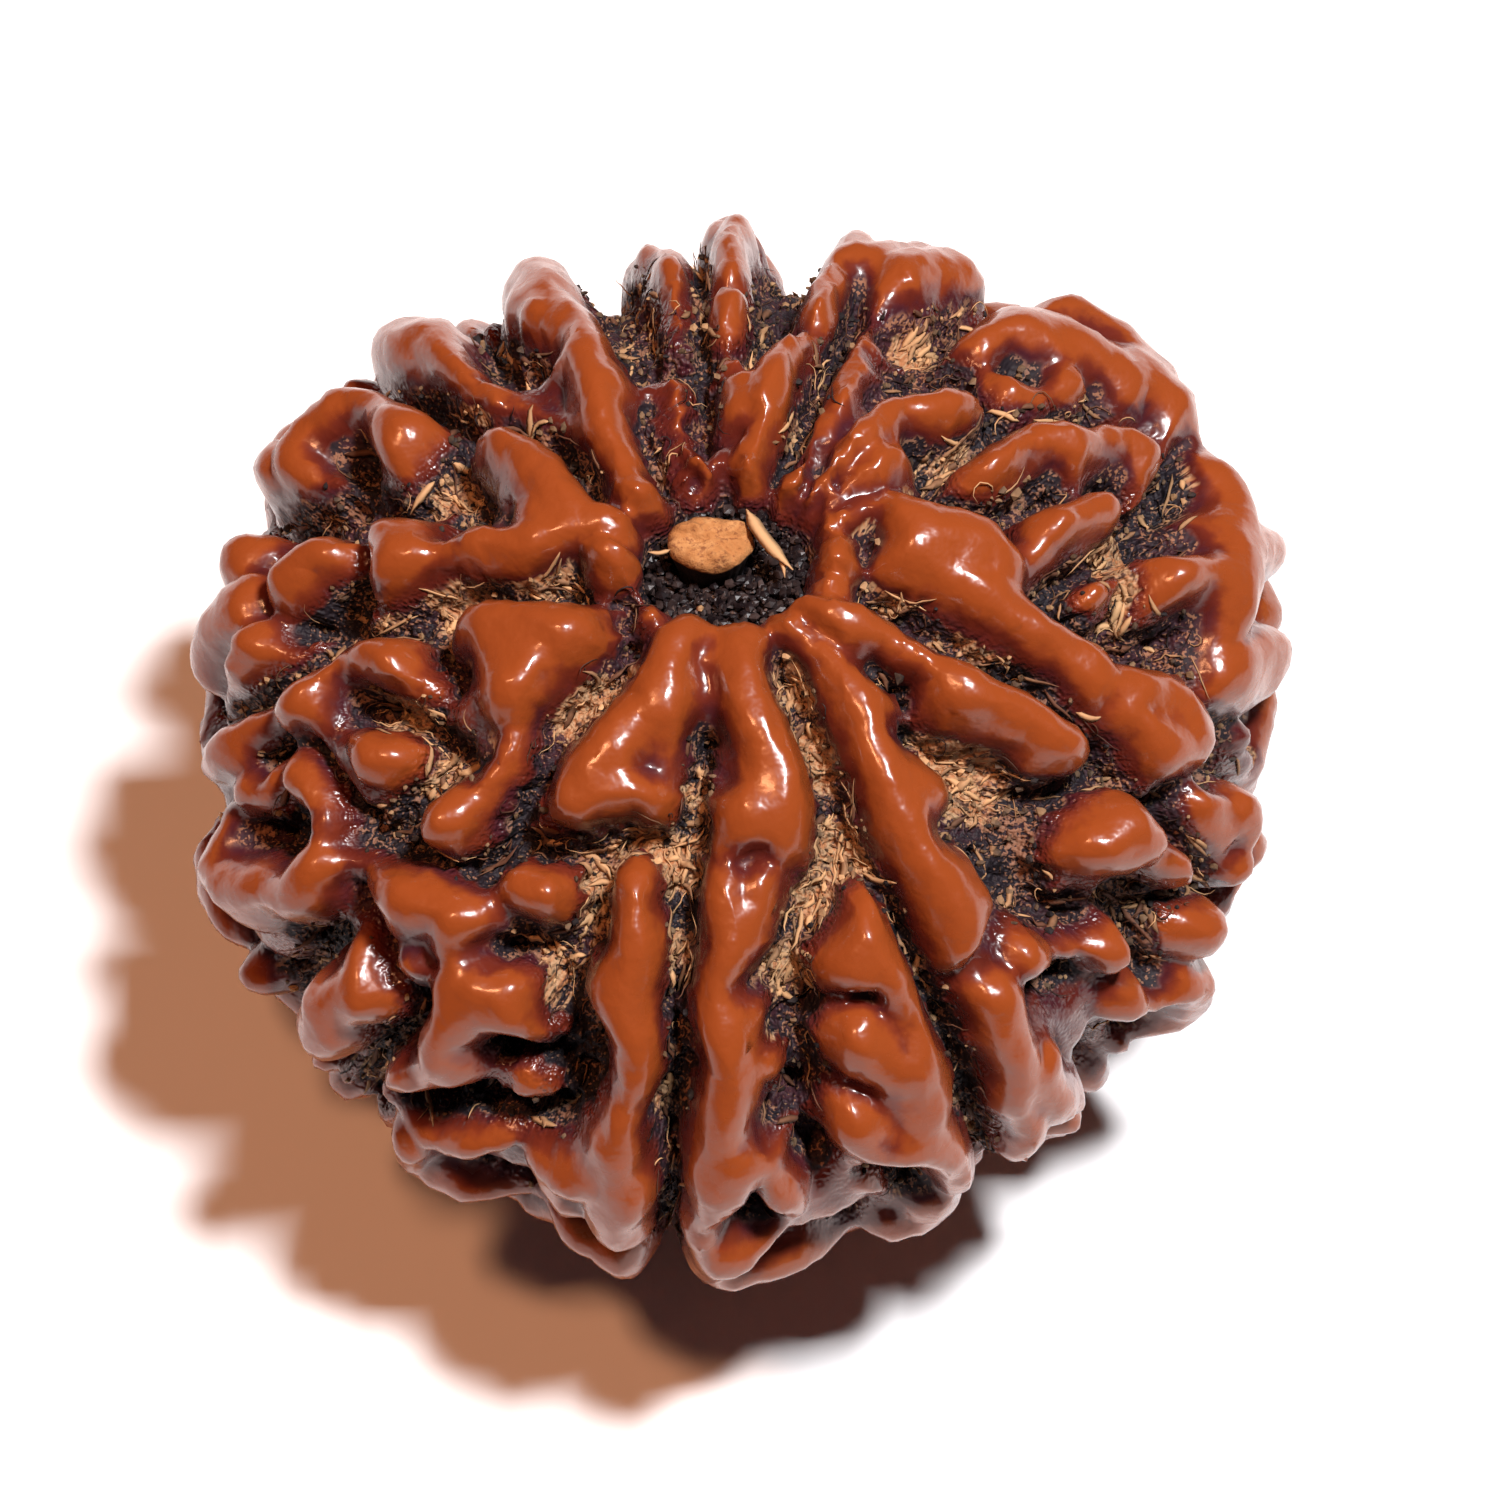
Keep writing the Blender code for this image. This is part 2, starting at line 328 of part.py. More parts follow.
# Shallow hollows in the swollen surface, each a half width, a depth and its run of places
DENTS = (
    (0.5, 1.0, ((3.5, 32), (6.5, 32))),
    (0.5, 1.1, ((16.5, 52), (19.5, 52.5))),
    (0.55, 1.2, ((27, 54.5), (31, 55), (35, 53.5), (38.5, 51))),
    (0.35, 0.9, ((139, 8), (142, 13), (143.5, 21), (144.5, 25))),
    (0.3, 0.8, ((130, 8), (132, 12), (132.5, 22))),
    (0.25, 0.8, ((121.5, 8), (124, 12), (123.5, 18))),
    (0.3, 0.8, ((112, 8), (114, 13), (112.5, 17))),
    (0.3, 0.8, ((-167, 8), (-163, 14), (-162.5, 20))),
    (0.45, 1.1, ((-152, 17.5), (-155.5, 21.5), (-159, 25))),
    (0.35, 0.9, ((-144, 7.5), (-146, 11), (-148, 15), (-151.5, 20))),
    (0.4, 0.7, ((-4.5, 12), (-4, 21))),
    (0.5, 0.7, ((1.5, 20), (1.5, 24))),
    (0.35, 0.6, ((-14, 10), (-12.5, 18))),
    (0.3, 0.9, ((-43, 5.5), (-41, 8.5))),
    (0.9, 0.35, ((-22, 22), (-20, 24))),
    (0.4, 0.9, ((36, 6), (31, 11), (30, 14))),
    (0.55, 0.8, ((30, 14), (29.5, 22), (28, 29), (27, 35))),
    (0.35, 0.8, ((56, 6.5), (52, 12), (50, 19))),
    (0.4, 0.8, ((-53, 6), (-49, 12))),
    (0.35, 0.9, ((-74, 7), (-69, 10), (-63, 12))),
    (0.35, 0.8, ((-89, 8), (-84, 11), (-78, 14))),
    (0.35, 0.7, ((-108, 8), (-106, 12), (-104, 16))),
    (0.4, 0.9, ((-121, 8), (-127, 11), (-130, 15))),
    (0.4, 0.8, ((153, 8), (155, 15))),
    (0.4, 0.9, ((174, 7.5), (173, 12), (173, 18))),
    (0.35, 0.7, ((88, 8), (89, 12), (91, 16))),
    (0.35, 0.7, ((72, 8), (73, 13), (76, 15))),
    (0.3, 0.9, ((174, 26), (179, 26.5), (184, 26))),
    (0.3, 0.9, ((174, 40), (180, 40.5), (185, 40))),
)

# Hollows that sink under the furrows' floor, each a half width, a depth and its run of places
HOLLOWS = (
    (0.8, 0.9, ((-63, 55), (-65.5, 58), (-67.5, 62))),
    (0.7, 0.9, ((-36, 76.5), (-31.5, 74), (-26.5, 69.5), (-21.5, 68.5), (-18, 67))),
    (0.6, 0.8, ((-37, 61), (-38.5, 66), (-40.5, 70))),
    (0.7, 0.9, ((-57, 68), (-53.5, 65), (-50, 62))),
    (0.7, 0.6, ((-16, 55), (-16, 60))),
    (0.7, 0.9, ((8.5, 67), (10, 70.5))),
    (0.8, 0.9, ((16.5, 74.5), (18.5, 79))),
    (0.8, 0.7, ((87, 46), (90, 50), (91, 53))),
    (0.7, 0.9, ((56, 59), (56.5, 64), (54.5, 69), (54, 75))),
    (0.6, 0.9, ((110, 52), (111.5, 55))),
    (0.5, 0.8, ((102, 49.5), (103, 51))),
    (0.6, 0.8, ((111, 40.5), (112, 42))),
    (0.7, 0.8, ((-143, 38), (-142, 42))),
    (0.7, 0.6, ((-108, 40), (-108, 48))),
)

# Where each suture's noted run ends, and where it comes near the lower pole
SUTURES = (
    ((-5.8, 106), (-5, 168)), ((29, 96), (30, 168)), ((46, 94), (50, 166)), ((66, 96), (70, 168)),
    ((83, 90), (88, 167)), ((117, 86), (110, 168)), ((143, 78), (138, 168)), ((163, 82), (160, 167)),
    ((-174, 70), (-178, 168)), ((-164, 68), (-158, 166)), ((-145, 78), (-140, 168)),
    ((-129, 80), (-122, 167)), ((-109, 88), (-104, 168)), ((-83, 96), (-80, 168)), ((-56, 93), (-55, 167)),
    ((-42, 94), (-30, 168)),
)


# The faces below the noted runs: how far down they go, and how ridges, pits and cross ridges are spaced
FACE_RADIUS = 12.8
FACE_START = 4
FACE_STOP = 166
LAST_PIT = 158
SHOULDER_INSET = 0.85
NARROW_FACE = 2.6


def blend_between(table, azimuth):
    """Value of a table of (azimuth, value) pairs at these azimuths, eased from one pair to the next."""
    at, value = np.array(table, float).T
    turned = np.mod(azimuth, 360.0)
    after = np.clip(np.searchsorted(at, turned, side="right"), 1, len(at) - 1)
    share = (turned - at[after - 1]) / (at[after] - at[after - 1])
    share = share * share * (3 - 2 * share)
    return value[after - 1] + share * (value[after] - value[after - 1])


def crest_point(azimuth, colatitude):
    """Point in millimetres, from the bead's centre, on the surface that the crests reach."""
    azimuth = np.asarray(azimuth, float)
    colatitude = np.asarray(colatitude, float)
    turn, tilt = np.radians(azimuth), np.radians(colatitude)
    radius = blend_between(GIRTH, azimuth)
    from_pole = np.minimum(colatitude, 180 - colatitude)
    height = HALF_HEIGHT * np.cos(tilt)
    height -= np.sign(90 - colatitude) * POLE_DIMPLE * np.exp(-((from_pole / DIMPLE_SPREAD) ** 2))
    return np.stack(
        [radius * np.sin(tilt) * np.sin(turn), -radius * np.sin(tilt) * np.cos(turn), height], axis=-1
    )


def place_of(points):
    """Azimuth and colatitude of points in millimetres, on the rays that crest_point follows."""
    azimuth = np.degrees(np.arctan2(points[..., 0], -points[..., 1]))
    radius = blend_between(GIRTH, azimuth)
    across = np.hypot(points[..., 0], points[..., 1]) / radius
    return azimuth, np.degrees(np.arctan2(across, points[..., 2] / HALF_HEIGHT))


def under_sight(places, depth):
    """Places noted against the crests, moved this deep down the line of sight to where they lie."""
    places = np.array(places, float)
    elevation = math.radians(SIGHT_ELEVATION)
    sight = np.array([0.0, math.cos(elevation), -math.sin(elevation)])
    points = crest_point(places[:, 0], places[:, 1])
    steepness = -(outward(places[:, 0], places[:, 1]) @ sight)
    limit = blend_between(SIGHT_LIMITS, places[:, 0]) * depth / SIGHT_DEPTH
    travel = np.minimum(depth / np.maximum(steepness, 0.1), limit)
    travel *= np.clip(places[:, 1] / POLE_SHALLOWS, 0, 1)
    azimuth, colatitude = place_of(points + travel[:, None] * sight)
    turned = places[:, 0] + np.mod(azimuth - places[:, 0] + 180, 360) - 180
    return np.stack([turned, colatitude, places[:, 2]], axis=1)


def outward(azimuth, colatitude):
    """Unit vectors that point out of the bead at these places."""
    turn, tilt = np.radians(azimuth), np.radians(colatitude)
    radius = blend_between(GIRTH, azimuth)
    way = np.stack(
        [
            np.sin(tilt) * np.sin(turn) / radius,
            -np.sin(tilt) * np.cos(turn) / radius,
            np.cos(tilt) / HALF_HEIGHT,
        ],
        axis=-1,
    )
    return way / np.linalg.norm(way, axis=-1, keepdims=True)


def run_of(places, step=2.5):
    """A run of (azimuth, colatitude, value) places as points on the crest surface, close together."""
    places = np.array(places, float)
    made = [places[:1]]
    for start, end in zip(places[:-1], places[1:]):
        count = max(1, math.ceil(np.abs(end[:2] - start[:2]).max() / step))
        share = np.linspace(0, 1, count + 1)[1:, None]
        made.append(start + share * (end - start))
    made = np.concatenate(made)
    return crest_point(made[:, 0], made[:, 1]), made[:, 2]


def gap_to_run(points, run, widths):
    """Distance of points from the edge of a run: below 0 inside it."""
    least = np.full(len(points), np.inf)
    for start, end, first, last in zip(run[:-1], run[1:], widths[:-1], widths[1:]):
        along = end - start
        share = np.clip((points - start) @ along / max(along @ along, 1e-9), 0, 1)
        gap = np.linalg.norm(points - start - share[:, None] * along, axis=1)
        least = np.minimum(least, gap - first - share * (last - first))
    return least


def near_run(points, run, reach):
    """Indexes of the points within reach of a run's bounding ball."""
    middle = (run.min(axis=0) + run.max(axis=0)) / 2
    radius = np.linalg.norm(run - middle, axis=1).max() + reach
    return np.nonzero(((points - middle) ** 2).sum(axis=1) < radius * radius)[0]


def ripple(points, wavelength, seed):
    """Smooth seeded unevenness between about -1 and 1, for features about one wavelength long."""
    draw = np.random.default_rng(seed)
    total = np.zeros(len(points))
    waves = 9
    for _ in range(waves):
        way = draw.normal(size=3)
        way *= 2 * math.pi / wavelength / np.linalg.norm(way)
        total += np.sin(points @ way + draw.uniform(0, 2 * math.pi))
    return total * math.sqrt(2 / waves) / 1.6


def hidden_runs(seed=11):
    """Furrows and ridges from where the noted ones end to the lower pole, by one rule on each face."""
    draw = np.random.default_rng(seed)
    furrows, ridges = [], []
    count = len(SUTURES)
    for index, (top, foot) in enumerate(SUTURES):
        places = []
        for share in np.linspace(0, 1, 9):
            sway = draw.uniform(-0.8, 0.8) * math.sin(math.pi * share)
            azimuth = top[0] + share * (foot[0] - top[0]) + sway
            colatitude = top[1] + share * (foot[1] - top[1])
            places.append((azimuth, colatitude, draw.uniform(0.12, 0.28)))
        furrows.append(places)
        next_top, next_foot = SUTURES[(index + 1) % count]
        left = np.array([top, foot], float)
        right = np.array([next_top, next_foot], float)
        if right[0, 0] < left[0, 0]:
            right[:, 0] += 360
        fill_face(draw, left, right, furrows, ridges)
    return furrows, ridges


def fill_face(draw, left, right, furrows, ridges):
    """Shoulder ridges along both sutures of one face, and pits with cross ridges between them."""
    start = min(left[0, 1], right[0, 1]) - FACE_START

    def across(share, colatitude):
        """Azimuth at this share of the way from the left suture to the right one."""
        ends = []
        for side in (left, right):
            down = np.clip((colatitude - side[0, 1]) / (side[1, 1] - side[0, 1]), 0, 1)
            ends.append(side[0, 0] + down * (side[1, 0] - side[0, 0]))
        return ends[0] + share * (ends[1] - ends[0])

    def width_at(colatitude):
        """Width of the face in millimetres."""
        degrees = across(1, colatitude) - across(0, colatitude)
        return math.radians(degrees) * FACE_RADIUS * math.sin(math.radians(colatitude))

    for inset in (SHOULDER_INSET, -SHOULDER_INSET):
        colatitude = start + draw.uniform(0, 6)
        while colatitude < FACE_STOP:
            length = draw.uniform(9, 24)
            run = []
            for step in np.linspace(0, 1, 5):
                here = min(colatitude + step * length, FACE_STOP)
                share = (inset + draw.uniform(-0.18, 0.18)) / max(width_at(here), 2.0)
                share = share if inset > 0 else 1 + share
                run.append((across(share, here), here))
            ridges.append((draw.uniform(0.5, 0.75), draw.uniform(1.9, 2.1), run))
            colatitude += length + draw.uniform(2, 6)
    colatitude = start + draw.uniform(2, 8)
    while colatitude < LAST_PIT:
        width = width_at(colatitude)
        if width > NARROW_FACE:
            share = draw.uniform(0.38, 0.62)
            size = draw.uniform(0.16, 0.42)
            lean = draw.uniform(-0.14, 0.14)
            length = draw.uniform(1.5, 6.0)
            bend = draw.uniform(-0.05, 0.05)
            furrows.append(
                [
                    (across(share - lean, colatitude), colatitude, size * 0.7),
                    (across(share + bend, colatitude + length / 2), colatitude + length / 2, size),
                    (across(share + lean, colatitude + length), colatitude + length, size * 0.6),
                ]
            )
            bar = colatitude + length + draw.uniform(2.5, 4.5)
            tilt = draw.uniform(-3.5, 3.5)
            rungs = ((0.2, bar - tilt), (0.5, bar), (0.8, bar + tilt))
            run = [(across(share, here), here) for share, here in rungs]
            ridges.append((draw.uniform(0.5, 0.8), draw.uniform(1.85, 2.15), run))
            if draw.random() < 0.55:
                side = 0.0 if draw.random() < 0.5 else 1.0
                inner = side + (0.5 - side) * draw.uniform(0.35, 0.75)
                middle = colatitude + length / 2
                furrows.append(
                    [
                        (across(side, middle), middle, draw.uniform(0.1, 0.2)),
                        (across(inner, middle + tilt), middle + tilt, draw.uniform(0.08, 0.24)),
                    ]
                )
            colatitude = bar + draw.uniform(2.5, 5.0)
        else:
            colatitude += 6


def relief(azimuth, colatitude):
    """Height in millimetres over the furrows' floor at these places."""
    points = crest_point(azimuth, colatitude)
    swayed = points + 0.13 * np.stack([ripple(points, 2.6, seed) for seed in (1, 2, 3)], axis=1)
    more_furrows, more_ridges = hidden_runs()
    nearness = np.zeros(len(points))
    reach = LIP + 0.9
    seen_furrows = [under_sight(places, SIGHT_DEPTH) for places in FURROWS]
    for places in seen_furrows + more_furrows:
        run, widths = run_of(places)
        widths = widths + PLUMPNESS
        near = near_run(swayed, run, reach + widths.max())
        gap = gap_to_run(swayed[near], run, widths)
        nearness[near] += np.exp(-gap / FURROW_JOIN)
    gap = -FURROW_JOIN * np.log(np.maximum(nearness, 1e-30))
    pit = np.hypot(points[:, 0] - PIT_AT[0], (points[:, 1] - PIT_AT[1]) / PIT_SQUASH) - PIT_RADIUS
    swell = SWELL + 0.16 * ripple(points, 3.4, 5) + 0.05 * ripple(points, 1.1, 6)
    swell -= RIM_SINK * np.exp(-((pit / RIM_SPREAD) ** 2))
    height = np.exp(swell / RIDGE_JOIN)
    seen_ridges = [
        (half_width, crest, under_sight([(*place, 0.0) for place in places], RIDGE_DEPTH)[:, :2])
        for half_width, crest, places in RIDGES
    ]
    for half_width, crest, places in seen_ridges + more_ridges:
        half_width = half_width + RIDGE_SPREAD
        run, _ = run_of([(*place, 0.0) for place in places])
        near = near_run(swayed, run, half_width)
        away = np.clip(gap_to_run(swayed[near], run, np.zeros(len(run))) / half_width, 0, 1)
        rise = swell[near] + (crest - swell[near]) * (1 - away**2) ** 0.6
        height[near] += np.exp(rise / RIDGE_JOIN) - np.exp(swell[near] / RIDGE_JOIN)
    height = RIDGE_JOIN * np.log(np.maximum(height, 1.0))
    for half_width, depth, places in DENTS:
        run, _ = run_of([(*place, 0.0) for place in places])
        near = near_run(swayed, run, half_width)
        away = np.clip(gap_to_run(swayed[near], run, np.zeros(len(run))) / half_width, 0, 1)
        height[near] -= depth * (1 - away**2) ** 2
    pit -= PLEATING * (RIM_HEIGHT - height)
    edge = np.clip(np.minimum(gap / LIP, pit / PIT_LIP), 0, 1)
    rounded = np.sqrt(1 - (1 - edge) ** 2)
    floor = 0.08 * ripple(points, 0.9, 8)
    for half_width, depth, places in HOLLOWS:
        run, _ = run_of([(*place, 0.0) for place in places])
        near = near_run(swayed, run, half_width)
        away = np.clip(gap_to_run(swayed[near], run, np.zeros(len(run))) / half_width, 0, 1)
        floor[near] -= depth * (1 - away**2) ** 2
    sunk = np.clip(-pit / PIT_WALL, 0, 1)
    floor = floor + (PIT_FLOOR - floor) * sunk * sunk * (3 - 2 * sunk)
    return floor + (height - floor) * rounded


def stone_points(ways):
    """Surface points in millimetres from the bead's centre, for unit vectors of a ball."""
    azimuth = np.degrees(np.arctan2(ways[:, 0], -ways[:, 1]))
    colatitude = np.degrees(np.arccos(np.clip(ways[:, 2], -1, 1)))
    rise = relief(azimuth, colatitude) - CREST - PLUMPNESS
    return crest_point(azimuth, colatitude) + rise[:, None] * outward(azimuth, colatitude)


def clear_scene():
    """Remove every object of the scene."""
    for thing in list(bpy.data.objects):
        bpy.data.objects.remove(thing, do_unlink=True)


def new_collection(name):
    """A collection of the scene."""
    collection = bpy.data.collections.new(name)
    bpy.context.scene.collection.children.link(collection)
    return collection


def new_material(name, colour, roughness):
    """A Principled material of one colour."""
    material = bpy.data.materials.new(name)
    material.use_nodes = True
    shader = material.node_tree.nodes["Principled BSDF"]
    shader.inputs["Base Color"].default_value = (*colour, 1.0)
    shader.inputs["Roughness"].default_value = roughness
    shader.inputs["Metallic"].default_value = 0.0
    material.diffuse_color = (*colour, 1.0)
    return material


def vertex_array(mesh):
    """Vertex positions of a mesh, one row each."""
    flat = np.empty(len(mesh.vertices) * 3)
    mesh.vertices.foreach_get("co", flat)
    return flat.reshape(-1, 3)


def plump(mesh, amount):
    """Push a surface out along its own normals, which rounds ridges and draws furrows in."""
    mesh.update()
    normals = np.empty(len(mesh.vertices) * 3)
    mesh.vertex_normals.foreach_get("vector", normals)
    points = vertex_array(mesh)
    mesh.vertices.foreach_set("co", (points + amount * normals.reshape(-1, 3)).ravel())
    mesh.update()


def keep_outer_body(mesh):
    """Drop the loose scraps that closing furrows leave inside."""
    shape = bmesh.new()
    shape.from_mesh(mesh)
    unseen = set(shape.verts)
    bodies = []
    while unseen:
        body = {unseen.pop()}
        edge = list(body)
        while edge:
            near = {link.other_vert(vert) for vert in edge for link in vert.link_edges}
            edge = list(near - body)
            body |= near
        unseen -= body
        bodies.append(body)
    bodies.sort(key=len)
    scraps = [vert for body in bodies[:-1] for vert in body]
    bmesh.ops.delete(shape, geom=scraps, context="VERTS")
    shape.to_mesh(mesh)
    shape.free()


def add_modifier(thing, kind, **settings):
    """A modifier of this kind with these settings."""
    modifier = thing.modifiers.new(kind.title(), kind)
    for name, value in settings.items():
        setattr(modifier, name, value)
    return modifier


def applied(thing):
    """The mesh of an object with its modifiers carried out, in place of its own."""
    graph = bpy.context.evaluated_depsgraph_get()
    mesh = bpy.data.meshes.new_from_object(thing.evaluated_get(graph))
    thing.modifiers.clear()
    thing.data = mesh
    return mesh


def make_stone(collection, cutters, material):
    """The stone: a ball raised by the relief, plumped, made one even skin and thinned to its faces."""
    mesh = bpy.data.meshes.new("stone")
    shape = bmesh.new()
    bmesh.ops.create_icosphere(shape, subdivisions=BALL_SUBDIVISIONS, radius=1.0)
    shape.to_mesh(mesh)
    shape.free()
    mesh.vertices.foreach_set("co", (stone_points(vertex_array(mesh)) * MM).ravel())
    plump(mesh, PLUMPNESS * MM)
    stone = bpy.data.objects.new("stone", mesh)
    collection.objects.link(stone)
    add_modifier(stone, "REMESH", mode="VOXEL", voxel_size=SKIN_STEP * MM)
    add_modifier(stone, "SMOOTH", factor=0.5, iterations=SKIN_SMOOTHING)
    add_modifier(stone, "TRIANGULATE")
    mesh = applied(stone)
    keep_outer_body(mesh)
    add_modifier(stone, "DECIMATE", ratio=STONE_TRIANGLES / len(mesh.polygons))
    mesh = applied(stone)
    mesh.materials.clear()
    mesh.materials.append(material)
    mesh.shade_smooth()
    points = vertex_array(mesh)
    low, high = points.min(axis=0), points.max(axis=0)
    middle = (low + high) / 2
    stone.location = (-middle[0], -middle[1], -low[2] - FLAT_TRIM * MM)
    trim = add_modifier(stone, "BOOLEAN", operation="DIFFERENCE", solver="EXACT")
    trim.object = make_ground_cutter(cutters)
    return stone


def make_ground_cutter(cutters):
    """A block whose top trims the lowest crests to a flat spot at height 0."""
    bpy.ops.mesh.primitive_cube_add(size=1.0)
    block = bpy.context.object
    block.name = "ground_cutter"
    block.scale = (40 * MM, 40 * MM, 5 * MM)
    block.location = (0.0, 0.0, -2.5 * MM)
    for owner in list(block.users_collection):
        owner.objects.unlink(block)
    cutters.objects.link(block)
    block.hide_render = True
    block.display_type = "WIRE"
    return block


def make_pith(collection, material, place):
    """The dried pith that plugs the pit: a short uneven stub with a frayed top."""
    bpy.ops.mesh.primitive_cylinder_add(vertices=22, radius=1.0, depth=1.0, end_fill_type="TRIFAN")
    pith = bpy.context.object
    pith.name = "pith"
    for owner in list(pith.users_collection):
        owner.objects.unlink(pith)
    collection.objects.link(pith)
    mesh = pith.data
    shape = bmesh.new()
    shape.from_mesh(mesh)
    bmesh.ops.subdivide_edges(shape, edges=shape.edges[:], cuts=2, use_grid_fill=True)
    bmesh.ops.triangulate(shape, faces=shape.faces[:])
    shape.to_mesh(mesh)
    shape.free()
    points = vertex_array(mesh)
    turn = np.arctan2(points[:, 1], points[:, 0])
    reach = np.hypot(points[:, 0], points[:, 1])
    ragged = 1 + 0.03 * np.sin(3 * turn + 0.4) + 0.03 * np.sin(5 * turn + 2.1)
    share = points[:, 2] + 0.5
    flare = PITH_RADIUS * ragged * (1 - PITH_TAPER * (1 - share))
    height = share * (PITH_HEIGHT + 0.12 * ripple(points, 0.9, 21) - 0.25 * reach**4)
    placed = np.stack(
        [
            PITH_AT[0] + flare * reach * np.cos(turn),
            PITH_AT[1] + PITH_SQUASH * flare * reach * np.sin(turn),
            PITH_FOOT + height,
        ],
        axis=1,
    )
    mesh.vertices.foreach_set("co", (placed * MM).ravel())
    mesh.update()
    pith.location = place
    mesh.materials.clear()
    mesh.materials.append(material)
    mesh.shade_smooth()
    return pith


def main():
    """Build the bead."""
    clear_scene()
    bead = new_collection("rudraksha_bead")
    cutters = new_collection("cutters")
    stone = make_stone(bead, cutters, new_material("stone_shell", STONE_COLOUR, 0.32))
    make_pith(bead, new_material("pith_fibre", PITH_COLOUR, 0.85), stone.location)


if __name__ == "__main__":
    main()
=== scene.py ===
"""A many-faced rudraksha bead, dressed for its photograph: shell, pith, fibres and crumbs.

Places on the stone are an azimuth in degrees, 0 towards -Y and growing towards +X, and a
colatitude in degrees, 0 at the upper pole. Shapes are worked out in millimetres from the
bead's middle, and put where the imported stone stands.
"""

import math

import bmesh
import bpy
import numpy as np
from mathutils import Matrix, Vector
from mathutils.bvhtree import BVHTree


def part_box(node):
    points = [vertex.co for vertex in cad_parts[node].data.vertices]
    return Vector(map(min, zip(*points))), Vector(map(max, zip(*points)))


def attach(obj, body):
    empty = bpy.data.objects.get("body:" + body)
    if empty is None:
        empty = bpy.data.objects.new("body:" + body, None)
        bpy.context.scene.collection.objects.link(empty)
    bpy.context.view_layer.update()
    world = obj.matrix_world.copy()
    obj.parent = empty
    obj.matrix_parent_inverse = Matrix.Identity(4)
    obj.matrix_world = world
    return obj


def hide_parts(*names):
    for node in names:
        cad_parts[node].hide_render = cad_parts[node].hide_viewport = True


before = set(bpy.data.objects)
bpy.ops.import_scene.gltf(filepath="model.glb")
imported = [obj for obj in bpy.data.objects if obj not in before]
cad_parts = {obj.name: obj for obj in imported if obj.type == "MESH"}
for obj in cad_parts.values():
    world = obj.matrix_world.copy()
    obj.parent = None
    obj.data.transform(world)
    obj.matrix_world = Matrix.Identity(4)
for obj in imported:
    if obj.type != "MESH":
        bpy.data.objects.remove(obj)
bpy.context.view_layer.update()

bl_info = {
    "name": "Rudraksha Bead",
    "version": (1, 0, 0),
    "blender": (4, 5, 0),
    "location": "3D View > Sidebar > Bead",
    "description": "Builds a ridged rudraksha bead with its pith, fibres and crumbs",
    "category": "Add Mesh",
}

MM = 0.001
STONE_LOW, STONE_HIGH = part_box("stone")

# Driving sizes of the stone
HALF_HEIGHT = 9.6
CREST = 2.0
SWELL = 1.05
LIP = 0.8
PLUMPNESS = 0.22
RIDGE_SPREAD = 0.14
POLE_DIMPLE = 0.9
DIMPLE_SPREAD = 9.0
PIT_AT = (0.0, 0.62)
PIT_RADIUS = 2.25
PIT_SQUASH = 0.87
PIT_LIP = 0.45
PIT_WALL = 0.22
PIT_FLOOR = -0.8
RIM_SINK = 0.5
RIM_SPREAD = 1.5
RIM_HEIGHT = 1.6
PLEATING = 0.2

# Pith plug: where it stands in the pit, its size, and the height of its foot over the bead's middle
PITH_RADIUS = 1.05
PITH_TAPER = 0.35
PITH_HEIGHT = 1.85
PITH_AT = (-0.36, 0.95)
PITH_SQUASH = 0.72
PITH_FOOT = 6.65

# Finish of the plug: its mesh, its doming, and the waves of its top as (height, wavelength, seed)
PITH_SEGMENTS = 96
PITH_CUTS = 7
PITH_DOMING = 0.25
PITH_TOP_WAVES = ((0.06, 0.9, 21),)
PITH_CRUMBLE = ((0.04, 0.5, 22), (0.03, 0.25, 23))

# Mesh of the stone: even skin first, then thinned
BALL_SUBDIVISIONS = 7
SKIN_SMOOTHING = 3

# How high the eye stands over the bead where the furrows were noted, and how deep it sees into them
SIGHT_ELEVATION = 63.0
SIGHT_DEPTH = 1.3
RIDGE_DEPTH = 0.5
POLE_SHALLOWS = 24.0

# Radius of the crests round the bead, as azimuth and radius: no two faces stand out alike
GIRTH = (
    (0, 13.2), (10, 12.7), (20, 12.6), (32, 12.7), (48, 12.1), (65, 12.9), (80, 12.95), (91, 12.8),
    (104, 13.8), (117, 14.0), (128, 14.1), (138, 14.0), (150, 13.5), (165, 13.2), (180, 13.4), (200, 13.0),
    (217, 13.2), (237, 13.2), (253, 12.8), (270, 12.9), (291, 12.85), (304, 12.6), (317, 12.95),
    (328, 12.6), (338, 12.5), (347, 12.9), (360, 13.2),
)

# Furthest that the eye sees down past a crest, as azimuth and length
SIGHT_LIMITS = (
    (0, 1.7), (50, 1.6), (90, 1.2), (130, 1.0), (180, 0.9), (225, 1.0), (250, 1.3), (275, 1.7), (360, 1.7),
)

# Softness of the joins in millimetres, the reach of a furrow past its lip, and how blunt a ridge's top is
FURROW_JOIN = 0.12
RIDGE_JOIN = 0.1
LIP_REACH = 0.9
RIDGE_BLUNTNESS = 0.6

# Unevenness of the stone: sway of the runs, then waves as (height, wavelength, seed) in millimetres
SWAY = 0.13
SWAY_WAVE = 2.6
SWAY_SEEDS = (1, 2, 3)
SWELL_WAVES = ((0.16, 3.4, 5), (0.05, 1.1, 6))
FLOOR_WAVES = ((0.08, 0.9, 8),)
WAVES_IN_A_RIPPLE = 9
RIPPLE_CALM = 1.6

